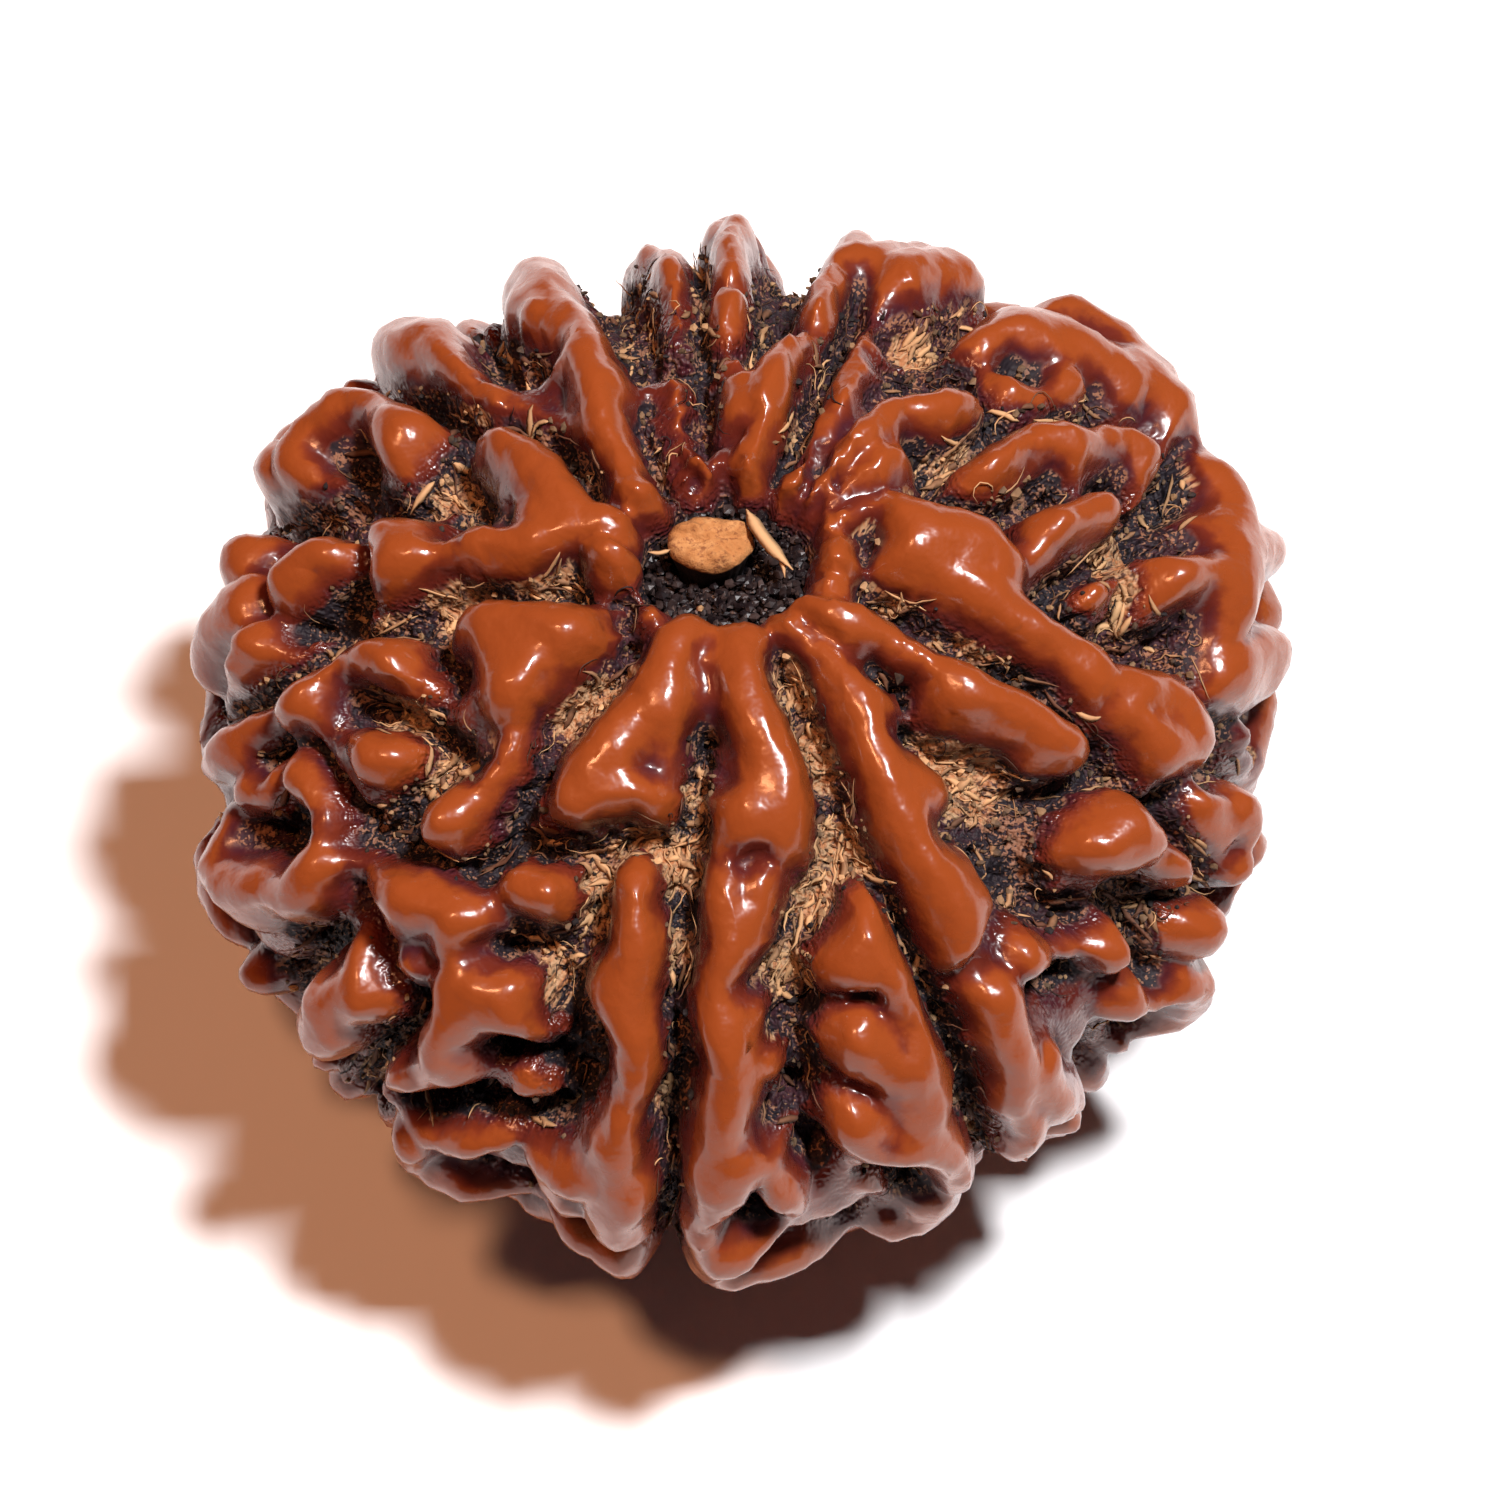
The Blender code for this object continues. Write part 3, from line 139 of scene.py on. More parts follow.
# Furrows and pits that bare the floor, each a run of (azimuth, colatitude, half width)
FURROWS = (
    # face that looks at the viewer, its two sutures and what lies between them
    ((-7.5, 19, 0.1), (-7, 24, 0.28), (-7.5, 29, 0.36), (-6.8, 33, 0.22), (-6.5, 40, 0.18), (-6, 50, 0.22),
     (-6, 60, 0.26), (-6, 70, 0.24), (-5.8, 80, 0.25), (-5.8, 95, 0.25), (-5.8, 108, 0.2)),
    ((24, 30, 0.12), (24.5, 35, 0.15), (26, 40, 0.18), (26.2, 46, 0.1), (26, 52, 0.14), (27.5, 57, 0.28),
     (27.5, 66, 0.26), (27.8, 75, 0.22), (28.5, 86, 0.2), (29, 98, 0.2)),
    ((28, 12.5, 0.08), (26.5, 16, 0.24), (24, 20, 0.3), (22.5, 25, 0.33), (21, 29, 0.36), (19, 34, 0.36),
     (13, 38, 0.33), (9, 42, 0.36), (4.5, 43, 0.22)),
    ((9, 43, 0.3), (10.5, 47, 0.33), (6.5, 49.5, 0.28)),
    ((9, 52, 0.18), (9, 57, 0.33), (8, 60, 0.38), (5, 60.5, 0.28)),
    ((2, 75, 0.18), (3, 77.5, 0.24)),
    ((8.5, 67, 0.32), (10, 70.5, 0.28)),
    ((16.5, 74.5, 0.42), (18.5, 79, 0.33), (20.5, 85, 0.22)),
    # next face to the left
    ((-8, 30.5, 0.26), (-13, 30.3, 0.2), (-17, 31, 0.18), (-20, 33.5, 0.24), (-21, 37, 0.34),
     (-20.5, 42, 0.3), (-21.5, 47, 0.3), (-23, 51.5, 0.24)),
    ((-30, 35.5, 0.13), (-25, 34.3, 0.14), (-21, 34.5, 0.18)),
    ((-31, 46.8, 0.22), (-26, 45.6, 0.15), (-21, 46, 0.18)),
    ((-18, 52, 0.35), (-16, 57, 0.45), (-17, 62, 0.28)),
    ((-26.4, 58.6, 0.2), (-25.4, 59.6, 0.2)),
    ((-21.4, 58, 0.2), (-20.4, 59.6, 0.2)),
    ((-36, 76.5, 0.2), (-31.5, 74, 0.3), (-26.5, 69.5, 0.32), (-21.5, 68.5, 0.3), (-18, 67, 0.24)),
    ((-48, 12.5, 0.1), (-45, 16, 0.26), (-43.5, 20, 0.3), (-42.5, 24, 0.26), (-41, 28, 0.22),
     (-39.5, 32, 0.2), (-37.5, 34.5, 0.2)),
    ((-36.5, 36.6, 0.22), (-32, 36.2, 0.18)),
    ((-37, 36.5, 0.2), (-38, 40, 0.2)),
    ((-38, 58, 0.22), (-37, 63, 0.28), (-40, 68, 0.28), (-41, 75, 0.22), (-42, 84, 0.2), (-42, 96, 0.2)),
    # faces on the left
    ((-67, 11, 0.06), (-62, 12, 0.08)),
    ((-72, 40, 0.26), (-68, 37, 0.26), (-64, 35, 0.26), (-59, 34.3, 0.24)),
    ((-57, 33.5, 0.16), (-54, 34, 0.24), (-53.5, 39, 0.32), (-54, 45, 0.55), (-56.5, 48.5, 0.2)),
    ((-51, 45, 0.3), (-49, 44.4, 0.18), (-45, 43, 0.12), (-40.5, 41.5, 0.12), (-38, 39, 0.14)),
    ((-70, 47, 0.12), (-66, 46.6, 0.18), (-61, 46.6, 0.17)),
    ((-74, 51.6, 0.13), (-73.6, 56, 0.18)),
    ((-63, 54.5, 0.3), (-65.5, 58, 0.4), (-67.5, 62, 0.4), (-69, 65, 0.2)),
    ((-51, 52.5, 0.14), (-46, 53, 0.24), (-43, 55.5, 0.24)),
    ((-56.5, 68, 0.35), (-53.5, 65, 0.34), (-50, 62, 0.2)),
    ((-53, 70, 0.35), (-55, 80, 0.5), (-56, 95, 0.4)),
    ((-76, 14.5, 0.06), (-81, 16, 0.16), (-86, 16, 0.12)),
    ((-82, 17, 0.22), (-83.5, 22, 0.26), (-84, 27, 0.32), (-83, 32, 0.28), (-83, 36, 0.12),
     (-82.5, 42, 0.12), (-82, 49, 0.18), (-82.5, 57, 0.13), (-83.5, 63, 0.13), (-83, 72, 0.1),
     (-83, 84, 0.12), (-83, 98, 0.15)),
    ((-80, 28.6, 0.26), (-77, 29.4, 0.16), (-73, 30, 0.18)),
    ((-68, 28.6, 0.2), (-66.4, 28.6, 0.22)),
    ((-96, 37.5, 0.13), (-92, 38.6, 0.26), (-91, 42, 0.3)),
    ((-89.5, 40, 0.18), (-85, 40.5, 0.18), (-84.5, 43, 0.16)),
    ((-89.5, 45, 0.16), (-88.5, 47, 0.14)),
    ((-82, 75, 0.2), (-79, 77, 0.35), (-75, 80, 0.3)),
    ((-116, 33.2, 0.16), (-112, 29, 0.22), (-108, 26.6, 0.33), (-103, 28, 0.26), (-99.5, 28, 0.16)),
    ((-110, 33, 0.28), (-108, 38, 0.38), (-108, 43, 0.5), (-108, 49, 0.5), (-109, 56, 0.36),
     (-110, 64, 0.25), (-110, 76, 0.2), (-109, 90, 0.2)),
    ((-104.5, 39, 0.24), (-103.5, 41.5, 0.2)),
    ((-127, 33.6, 0.1), (-122, 33, 0.14), (-117, 32.6, 0.12)),
    ((-127, 15, 0.08), (-129, 17, 0.16), (-130.5, 22, 0.22), (-130, 27, 0.18), (-128.5, 32, 0.12),
     (-128, 37, 0.18), (-128.5, 43, 0.22), (-129.5, 48, 0.18), (-130, 56, 0.14), (-129, 66, 0.14),
     (-129, 82, 0.2)),
    ((-116, 45.5, 0.18), (-117.5, 50, 0.18)),
    # back faces, up to the outline
    ((-144, 33, 0.2), (-142, 36, 0.42), (-141, 40, 0.36), (-144, 43, 0.26)),
    ((-141, 43, 0.26), (-144, 47, 0.28), (-147.5, 53, 0.32), (-147, 66, 0.35), (-145, 80, 0.25)),
    ((-147, 12, 0.08), (-151, 14, 0.12), (-152, 17.5, 0.12), (-154, 19.5, 0.12)),
    ((-174, 27, 0.3), (-169, 27.5, 0.26), (-164, 29, 0.36), (-161, 27.5, 0.2)),
    ((-163.5, 33, 0.45), (-163.5, 42, 0.65), (-164.5, 55, 0.6), (-165, 70, 0.6), (-165, 84, 0.4)),
    ((-161.5, 33, 0.24), (-161.5, 42, 0.22)),
    ((-176, 15, 0.16), (-173, 17, 0.2), (-174.5, 22, 0.22), (-175.5, 27, 0.26), (-175, 34, 0.1),
     (-176, 42, 0.04), (-176.5, 56, 0.04), (-175, 72, 0.15)),
    ((168, 32, 0.08), (170, 29, 0.12), (174, 26.4, 0.08)),
    ((174, 29, 0.2), (172.5, 33, 0.3), (172.5, 38, 0.4), (172, 46, 0.5), (172, 60, 0.6), (172, 72, 0.5),
     (171, 84, 0.3)),
    ((154.5, 14, 0.1), (156, 18.5, 0.16), (157.5, 24.5, 0.2), (158.5, 31, 0.2), (159.5, 38.5, 0.18),
     (160.5, 45, 0.08)),
    ((162, 64, 0.1), (163, 84, 0.2)),
    ((151, 36, 0.16), (151.5, 40, 0.4), (150, 43.5, 0.28)),
    ((147, 44, 0.16), (148, 48, 0.22)),
    # faces on the right
    ((132, 33, 0.16), (136, 32.5, 0.26), (139, 30.5, 0.18), (141, 27, 0.18), (144, 25, 0.16)),
    ((138, 35, 0.28), (143, 34, 0.28), (145, 31, 0.24)),
    ((143.5, 34.5, 0.18), (146, 40, 0.2), (147, 46, 0.16), (145, 54, 0.26), (143, 64, 0.3),
     (143, 80, 0.25)),
    ((133, 40, 0.2), (131, 41, 0.16)),
    ((125.5, 48, 0.14), (124.6, 48.6, 0.12)),
    ((118, 21, 0.18), (121, 22, 0.3), (126, 22, 0.26)),
    ((122, 24, 0.22), (124, 30, 0.22), (125, 34, 0.16), (123.5, 37.5, 0.06), (122.5, 42, 0.1),
     (121.5, 50, 0.1), (121, 54, 0.1)),
    ((120.5, 73, 0.14), (119, 84, 0.16)),
    ((112, 20.5, 0.1), (108.5, 23, 0.22), (104.5, 26, 0.22), (100, 27.5, 0.12)),
    ((106, 27, 0.22), (108.5, 31, 0.26), (110, 34, 0.22)),
    ((110.5, 41, 0.3), (111.5, 43, 0.3)),
    ((107, 47, 0.26), (109, 51, 0.34), (111, 55, 0.36)),
    ((112, 71, 0.14), (114, 76, 0.2), (117, 88, 0.2)),
    ((110.5, 50, 0.12), (114, 56, 0.16), (117, 60, 0.14)),
    ((97, 13.4, 0.07), (103, 13.8, 0.07)),
    ((88, 33, 0.26), (93, 35, 0.3), (96, 37.5, 0.26), (101, 42, 0.22), (103, 44.5, 0.16)),
    ((92, 44.6, 0.2), (95, 44.6, 0.16)),
    ((101.5, 48.5, 0.26), (102.5, 51.5, 0.24)),
    ((86, 36, 0.26), (84.5, 40, 0.26), (84.5, 44, 0.26), (87, 48, 0.5), (90, 54, 0.5), (86, 57, 0.26)),
    ((83, 60, 0.2), (82, 66, 0.3), (82, 78, 0.3), (83, 92, 0.25)),
    ((79, 14, 0.1), (75, 16.5, 0.2), (72, 19, 0.25), (70, 23, 0.28), (69, 28, 0.28), (69.5, 33, 0.22),
     (69, 38, 0.1), (67, 43, 0.26), (65.5, 48, 0.13), (66, 53, 0.13), (67.5, 57, 0.22), (66.8, 63, 0.1),
     (66.3, 72, 0.1), (66, 84, 0.14), (66, 98, 0.18)),
    ((68.4, 54, 0.16), (70, 56.5, 0.18)),
    ((75, 62, 0.17), (76, 63.4, 0.15)),
    ((50.5, 20, 0.1), (51, 23, 0.13)),
    ((43, 26, 0.1), (46, 26, 0.1)),
    ((46.5, 29.5, 0.18), (49, 32, 0.3), (53.5, 35, 0.2)),
    ((39, 36, 0.18), (44, 37, 0.36), (50, 37, 0.42)),
    ((45, 42, 0.52), (45, 48, 0.66), (46, 54, 0.42), (49, 57.5, 0.18)),
    ((52.5, 41, 0.26), (52, 44, 0.16)),
    ((50, 37.5, 0.3), (55, 40, 0.2), (60, 43, 0.2), (65.5, 45, 0.26)),
    ((39.5, 59.5, 0.18), (41, 61.5, 0.18), (45, 63.5, 0.12)),
    ((56, 58.5, 0.22), (56.5, 63, 0.36), (54.5, 69, 0.38), (54, 75, 0.3)),
    ((57, 62, 0.1), (60.5, 66, 0.1), (63.5, 69.5, 0.08)),
    ((46, 84, 0.3), (46, 96, 0.3)),
)

# Ridges that rise over the swollen surface, each a half width, a crest height and its run of places
RIDGES = (
    # face that looks at the viewer
    (0.4, 1.75, ((-11, 5.5), (-9.5, 11), (-9, 15), (-8.5, 20))),
    (1.1, 2.0, ((9, 5.5), (8, 14), (8, 20))),
    (0.8, 2.1, ((12, 18), (14, 22), (12, 26))),
    (0.9, 1.9, ((4, 18), (5, 24), (6, 28))),
    (0.5, 1.9, ((5, 27), (10, 29), (17, 31.5))),
    (0.5, 1.95, ((-2, 20), (-2.5, 27), (-1.5, 34), (-0.5, 40), (0.5, 43))),
    (0.6, 1.7, ((6, 33), (7, 36), (4, 39))),
    (0.7, 2.05, ((0, 43), (-1, 49), (0, 55), (-1, 62))),
    (0.45, 1.8, ((1, 50), (5, 47), (8, 45))),
    (0.6, 1.8, ((3, 52), (5, 55))),
    (0.65, 2.05, ((-2, 60), (-2.5, 68), (-2, 76), (-3, 86), (-3.5, 96), (-4, 104))),
    (0.8, 2.0, ((20.5, 38), (20, 43), (19, 47))),
    (0.5, 2.15, ((22.5, 40), (23.5, 48), (24, 56), (22.5, 61))),
    (0.55, 1.85, ((15, 44), (15.5, 48))),
    (0.6, 2.05, ((11.5, 51), (15, 54.5), (19, 58), (22, 61.5))),
    (0.8, 2.05, ((22, 62), (22, 68), (21, 72), (24, 77), (25, 84), (26, 90))),
    (0.7, 2.1, ((-1, 72), (1.5, 67), (5, 64), (9, 63.5), (13, 67), (17, 71), (20, 74))),
    (0.6, 2.05, ((6, 70), (6.5, 76), (4.5, 83), (1, 88), (-2, 91))),
    (0.5, 2.0, ((14.5, 76), (16, 82), (19, 88), (24, 93.5), (26, 90))),
    # next face to the left
    (0.65, 2.15, ((-11.5, 34), (-10, 40), (-10, 48), (-9.5, 56), (-10, 66), (-10, 78), (-11, 90),
                  (-11, 104))),
    (0.8, 1.95, ((-14.5, 40), (-15, 45.5), (-12.5, 51))),
    (0.6, 1.95, ((-13, 60), (-12.5, 70), (-11.5, 82))),
    (0.55, 2.1, ((-33, 27), (-29, 22), (-25, 17.5), (-24, 13), (-32, 5.5))),
    (0.5, 1.95, ((-21, 5.5), (-19, 14), (-17, 20), (-14, 22.5), (-13, 26))),
    (0.5, 2.0, ((-32, 29), (-25, 27.8), (-18, 27), (-13, 25))),
    (0.55, 2.1, ((-40, 42), (-34, 40.6), (-28, 40.6), (-25, 41))),
    (0.9, 2.0, ((-30, 51), (-27, 54), (-29, 61))),
    (0.5, 1.9, ((-30, 64), (-25, 64.4), (-20, 63.5))),
    (0.8, 2.1, ((-38, 81), (-35, 83), (-31, 81), (-27, 76.5), (-23, 73), (-19, 73), (-16, 76))),
    (0.5, 1.8, ((-21, 75), (-18, 81), (-17, 87))),
    # faces on the left
    (0.6, 2.1, ((-77, 23), (-72, 19), (-66, 17), (-58, 17.5), (-52, 19))),
    (0.9, 1.95, ((-75, 25), (-68, 24), (-62, 22))),
    (0.7, 2.0, ((-56, 18), (-54, 13), (-60, 6.5))),
    (0.5, 1.9, ((-69, 17), (-75, 11), (-80, 8))),
    (0.8, 2.1, ((-57, 25), (-50, 24.5), (-46, 27), (-44, 31), (-42, 36), (-44, 38.5), (-48, 39.5))),
    (0.8, 2.05, ((-76, 33), (-77, 38), (-78, 44), (-77, 50))),
    (0.5, 2.0, ((-70, 42.4), (-65, 42), (-60, 39.5), (-57, 38.4))),
    (0.95, 2.2, ((-68.5, 51), (-65, 51.5), (-63, 52.5))),
    (0.6, 1.95, ((-78, 52), (-78, 58), (-79, 62))),
    (0.6, 2.0, ((-75, 60), (-73, 65), (-71, 69))),
    (0.5, 1.85, ((-66, 68), (-64, 66.5))),
    (0.7, 2.05, ((-57, 52), (-58, 57), (-59, 62), (-60, 68), (-65, 74), (-70, 78))),
    (0.8, 2.05, ((-52, 50), (-47, 50.5), (-41, 45), (-37, 48), (-34, 51))),
    (0.6, 1.9, ((-47, 58), (-46.5, 62), (-45, 66))),
    (0.5, 1.9, ((-42, 58), (-41, 64))),
    (0.8, 2.15, ((-49, 69), (-47.5, 74), (-49, 78))),
    (0.9, 2.05, ((-32, 54), (-33, 60), (-34, 66), (-37, 70), (-39, 75))),
    (0.6, 1.95, ((-87, 44), (-87, 50), (-87, 57))),
    (0.5, 1.95, ((-89, 62), (-87, 68), (-85, 75))),
    (0.5, 1.9, ((-81, 65), (-83, 72), (-84, 79))),
    (0.5, 2.0, ((-73, 72), (-71, 78), (-73, 85))),
    (0.8, 2.1, ((-101, 8), (-98, 17), (-95, 21), (-94, 26), (-93, 31), (-96, 35), (-100, 33.5))),
    (0.65, 2.1, ((-101, 38), (-102, 43), (-100, 48), (-98, 52))),
    (0.6, 2.05, ((-97, 46), (-95, 50))),
    (0.6, 2.05, ((-98, 62), (-97, 68), (-96, 75))),
    (0.5, 2.0, ((-91, 53), (-91, 58))),
    (0.9, 2.1, ((-120, 18), (-123, 23), (-124, 28))),
    (0.6, 1.9, ((-115, 8), (-113, 16), (-109, 20))),
    (0.75, 2.1, ((-118, 37), (-122, 40), (-126, 45), (-128, 51), (-127, 57))),
    (0.6, 2.1, ((-124, 58), (-118, 61), (-113.5, 57), (-112, 51))),
    (0.9, 2.2, ((-117, 67), (-111, 67), (-106, 68))),
    (0.45, 2.15, ((-129, 8), (-138, 16), (-136, 22), (-134, 28), (-132.5, 34), (-133, 39), (-136, 44),
                  (-135, 50), (-132, 60))),
    (0.9, 2.15, ((-137.5, 46), (-138, 51), (-137, 56), (-138, 63))),
    # back faces, up to the outline
    (0.5, 2.15, ((-133, 9), (-142.5, 16.5), (-147, 22), (-150, 27), (-153, 33.5), (-155, 40),
                 (-155, 53), (-156, 60))),
    (0.9, 2.1, ((-150, 34), (-148.5, 42), (-149, 50), (-152, 57))),
    (0.06, 1.95, ((-174, 7.5), (-169, 11), (-167, 15))),
    (0.14, 1.95, ((-167, 15), (-168, 20), (-169, 25))),
    (0.1, 1.9, ((-163, 8), (-159.5, 14), (-158.5, 23))),
    (0.35, 2.1, ((-170, 31), (-170.5, 36), (-171.5, 42), (-171.5, 48))),
    (0.5, 1.45, ((-171.5, 48), (-171.5, 55), (-171.5, 63))),
    (0.4, 2.05, ((178, 15), (179, 19), (179, 23))),
    (0.4, 2.15, ((178.5, 28), (179, 33), (179.5, 37))),
    (0.4, 2.15, ((180, 43), (179.5, 50), (180, 60))),
    (0.12, 2.0, ((162, 7.5), (165, 11), (168, 15))),
    (0.3, 2.05, ((168, 15), (169, 19), (168, 24), (166, 29))),
    (0.45, 2.15, ((166, 29), (165, 38), (164.5, 46), (164, 54), (165, 62))),
    (0.1, 2.0, ((145, 8), (148, 13), (150.5, 19))),
    (0.22, 2.1, ((150.5, 19), (153.5, 27), (156, 35))),
    (0.4, 2.1, ((164, 46), (162, 52), (160, 58), (158, 62))),
    (1.0, 2.15, ((157.5, 40), (157, 47), (155, 54), (154, 61))),
    # faces on the right
    (0.8, 2.1, ((132, 18), (132, 24), (131, 29), (129, 33))),
    (0.1, 2.0, ((134, 8), (136, 12), (137, 18))),
    (0.3, 2.0, ((137, 18), (138, 23), (136, 27))),
    (0.06, 1.9, ((117, 8), (120, 12), (119, 17))),
    (0.06, 1.9, ((126, 8), (127, 12), (128, 18))),
    (0.8, 2.05, ((106, 8), (107, 14), (106, 19), (103, 23))),
    (0.9, 1.95, ((134, 41), (130, 44), (127, 47))),
    (0.5, 1.95, ((126, 37), (126.5, 42), (127, 48))),
    (0.8, 2.0, ((133, 34), (137.5, 36.5), (139, 41), (137.5, 46))),
    (1.1, 2.05, ((137, 49), (135, 53), (132, 56), (128, 57))),
    (0.95, 2.2, ((139, 62), (134, 65), (129, 67))),
    (1.0, 2.15, ((128.5, 63), (123.5, 63.5), (118.5, 64), (113.5, 64), (109, 64), (103, 62.5), (97, 61.5))),
    (0.8, 2.1, ((97, 61.5), (92, 60), (89, 57))),
    (0.75, 2.1, ((112, 25), (114, 28), (116.5, 31.5), (117.5, 36), (117, 41), (117, 46), (114, 51))),
    (0.5, 1.9, ((125, 44), (123.5, 49), (124, 54))),
    (0.6, 2.0, ((124, 68), (126, 74), (129, 80))),
    (0.8, 2.1, ((93, 8), (96, 17), (98, 22), (97, 27))),
    (0.8, 1.95, ((87, 17), (87, 21), (88, 27))),
    (0.6, 2.1, ((101, 31), (103, 36), (105, 41))),
    (0.5, 2.0, ((91, 40), (95, 40.5))),
    (0.7, 2.15, ((97, 46), (98, 52), (100, 57), (103, 61), (106, 68), (108, 76))),
    (0.7, 2.1, ((83, 8), (82, 18), (79, 24), (77, 30), (75.5, 36), (74, 40))),
    (0.7, 1.85, ((83, 27), (82, 33), (80, 40))),
    (0.8, 2.05, ((73, 47), (74, 53), (73, 57))),
    (0.75, 1.95, ((80, 47), (80.5, 53), (78, 58))),
    (0.5, 1.95, ((69, 60), (70, 66), (71, 72))),
    (0.5, 2.0, ((74, 66), (76.5, 70), (76, 77))),
    (0.5, 1.95, ((68.5, 75), (71, 80), (74, 84))),
    (0.8, 2.1, ((87, 61), (90, 66), (94, 73), (97, 82))),
    (0.75, 2.15, ((64, 6.5), (60, 16), (61, 22), (61, 26), (62, 32), (64, 38), (64.5, 41.5))),
    (0.6, 2.05, ((53, 47), (57, 50.5), (60, 54))),
    (0.5, 2.15, ((62, 46), (62.5, 51), (61.5, 57))),
    (0.45, 2.0, ((60, 62), (63, 66), (64.5, 71))),
    (0.5, 2.0, ((57.5, 69), (60, 74), (63, 79))),
    (0.7, 2.0, ((52, 80), (57, 85), (61, 91))),
    (0.6, 1.9, ((50, 6), (46, 18), (45, 23), (42, 29), (41, 33))),
    (0.6, 2.1, ((46, 6), (38.5, 17), (36, 21.5), (34.5, 26.5), (34, 31), (34.5, 36))),
    (0.95, 2.15, ((34.5, 39), (34, 44), (32, 48), (30.5, 51))),
    (0.75, 2.05, ((34, 59), (33, 63), (33, 68), (31.5, 76), (32, 88))),
    (0.6, 1.95, ((42, 57), (47, 60), (51, 65), (52, 68))),
    (0.5, 1.95, ((37, 73), (38, 82), (38, 90))),
)

# Shallow hollows in the swollen surface, each a half width, a depth and its run of places
DENTS = (
    (0.5, 1.0, ((3.5, 32), (6.5, 32))),
    (0.5, 1.1, ((16.5, 52), (19.5, 52.5))),
    (0.55, 1.2, ((27, 54.5), (31, 55), (35, 53.5), (38.5, 51))),
    (0.35, 0.9, ((139, 8), (142, 13), (143.5, 21), (144.5, 25))),
    (0.3, 0.8, ((130, 8), (132, 12), (132.5, 22))),
    (0.25, 0.8, ((121.5, 8), (124, 12), (123.5, 18))),
    (0.3, 0.8, ((112, 8), (114, 13), (112.5, 17))),
    (0.3, 0.8, ((-167, 8), (-163, 14), (-162.5, 20))),
    (0.45, 1.1, ((-152, 17.5), (-155.5, 21.5), (-159, 25))),
    (0.35, 0.9, ((-144, 7.5), (-146, 11), (-148, 15), (-151.5, 20))),
    (0.4, 0.7, ((-4.5, 12), (-4, 21))),
    (0.5, 0.7, ((1.5, 20), (1.5, 24))),
    (0.35, 0.6, ((-14, 10), (-12.5, 18))),
    (0.3, 0.9, ((-43, 5.5), (-41, 8.5))),
    (0.9, 0.35, ((-22, 22), (-20, 24))),
    (0.4, 0.9, ((36, 6), (31, 11), (30, 14))),
    (0.55, 0.8, ((30, 14), (29.5, 22), (28, 29), (27, 35))),
    (0.35, 0.8, ((56, 6.5), (52, 12), (50, 19))),
    (0.4, 0.8, ((-53, 6), (-49, 12))),
    (0.35, 0.9, ((-74, 7), (-69, 10), (-63, 12))),
    (0.35, 0.8, ((-89, 8), (-84, 11), (-78, 14))),
    (0.35, 0.7, ((-108, 8), (-106, 12), (-104, 16))),
    (0.4, 0.9, ((-121, 8), (-127, 11), (-130, 15))),
    (0.4, 0.8, ((153, 8), (155, 15))),
    (0.4, 0.9, ((174, 7.5), (173, 12), (173, 18))),
    (0.35, 0.7, ((88, 8), (89, 12), (91, 16))),
    (0.35, 0.7, ((72, 8), (73, 13), (76, 15))),
    (0.3, 0.9, ((174, 26), (179, 26.5), (184, 26))),
    (0.3, 0.9, ((174, 40), (180, 40.5), (185, 40))),
)

# Hollows that sink under the furrows' floor, each a half width, a depth and its run of places
HOLLOWS = (
    (0.8, 0.9, ((-63, 55), (-65.5, 58), (-67.5, 62))),
    (0.7, 0.9, ((-36, 76.5), (-31.5, 74), (-26.5, 69.5), (-21.5, 68.5), (-18, 67))),
    (0.6, 0.8, ((-37, 61), (-38.5, 66), (-40.5, 70))),
    (0.7, 0.9, ((-57, 68), (-53.5, 65), (-50, 62))),
    (0.7, 0.6, ((-16, 55), (-16, 60))),
    (0.7, 0.9, ((8.5, 67), (10, 70.5))),
    (0.8, 0.9, ((16.5, 74.5), (18.5, 79))),
    (0.8, 0.7, ((87, 46), (90, 50), (91, 53))),
    (0.7, 0.9, ((56, 59), (56.5, 64), (54.5, 69), (54, 75))),
    (0.6, 0.9, ((110, 52), (111.5, 55))),
    (0.5, 0.8, ((102, 49.5), (103, 51))),
    (0.6, 0.8, ((111, 40.5), (112, 42))),
    (0.7, 0.8, ((-143, 38), (-142, 42))),
    (0.7, 0.6, ((-108, 40), (-108, 48))),
)

# Where each suture's noted run ends, and where it comes near the lower pole
SUTURES = (
    ((-5.8, 106), (-5, 168)), ((29, 96), (30, 168)), ((46, 94), (50, 166)), ((66, 96), (70, 168)),
    ((83, 90), (88, 167)), ((117, 86), (110, 168)), ((143, 78), (138, 168)), ((163, 82), (160, 167)),
    ((-174, 70), (-178, 168)), ((-164, 68), (-158, 166)), ((-145, 78), (-140, 168)),
    ((-129, 80), (-122, 167)), ((-109, 88), (-104, 168)), ((-83, 96), (-80, 168)), ((-56, 93), (-55, 167)),
    ((-42, 94), (-30, 168)),
)

# The faces below the noted runs: how far down they go, and where their shoulder ridges stand
FACE_RADIUS = 12.8
FACE_START = 4
FACE_STOP = 166
LAST_PIT = 158
NARROW_FACE = 2.6
NARROW_STEP = 6
LEAST_WIDTH = 2.0
SHOULDER_INSET = 0.85
FACE_SEED = 11

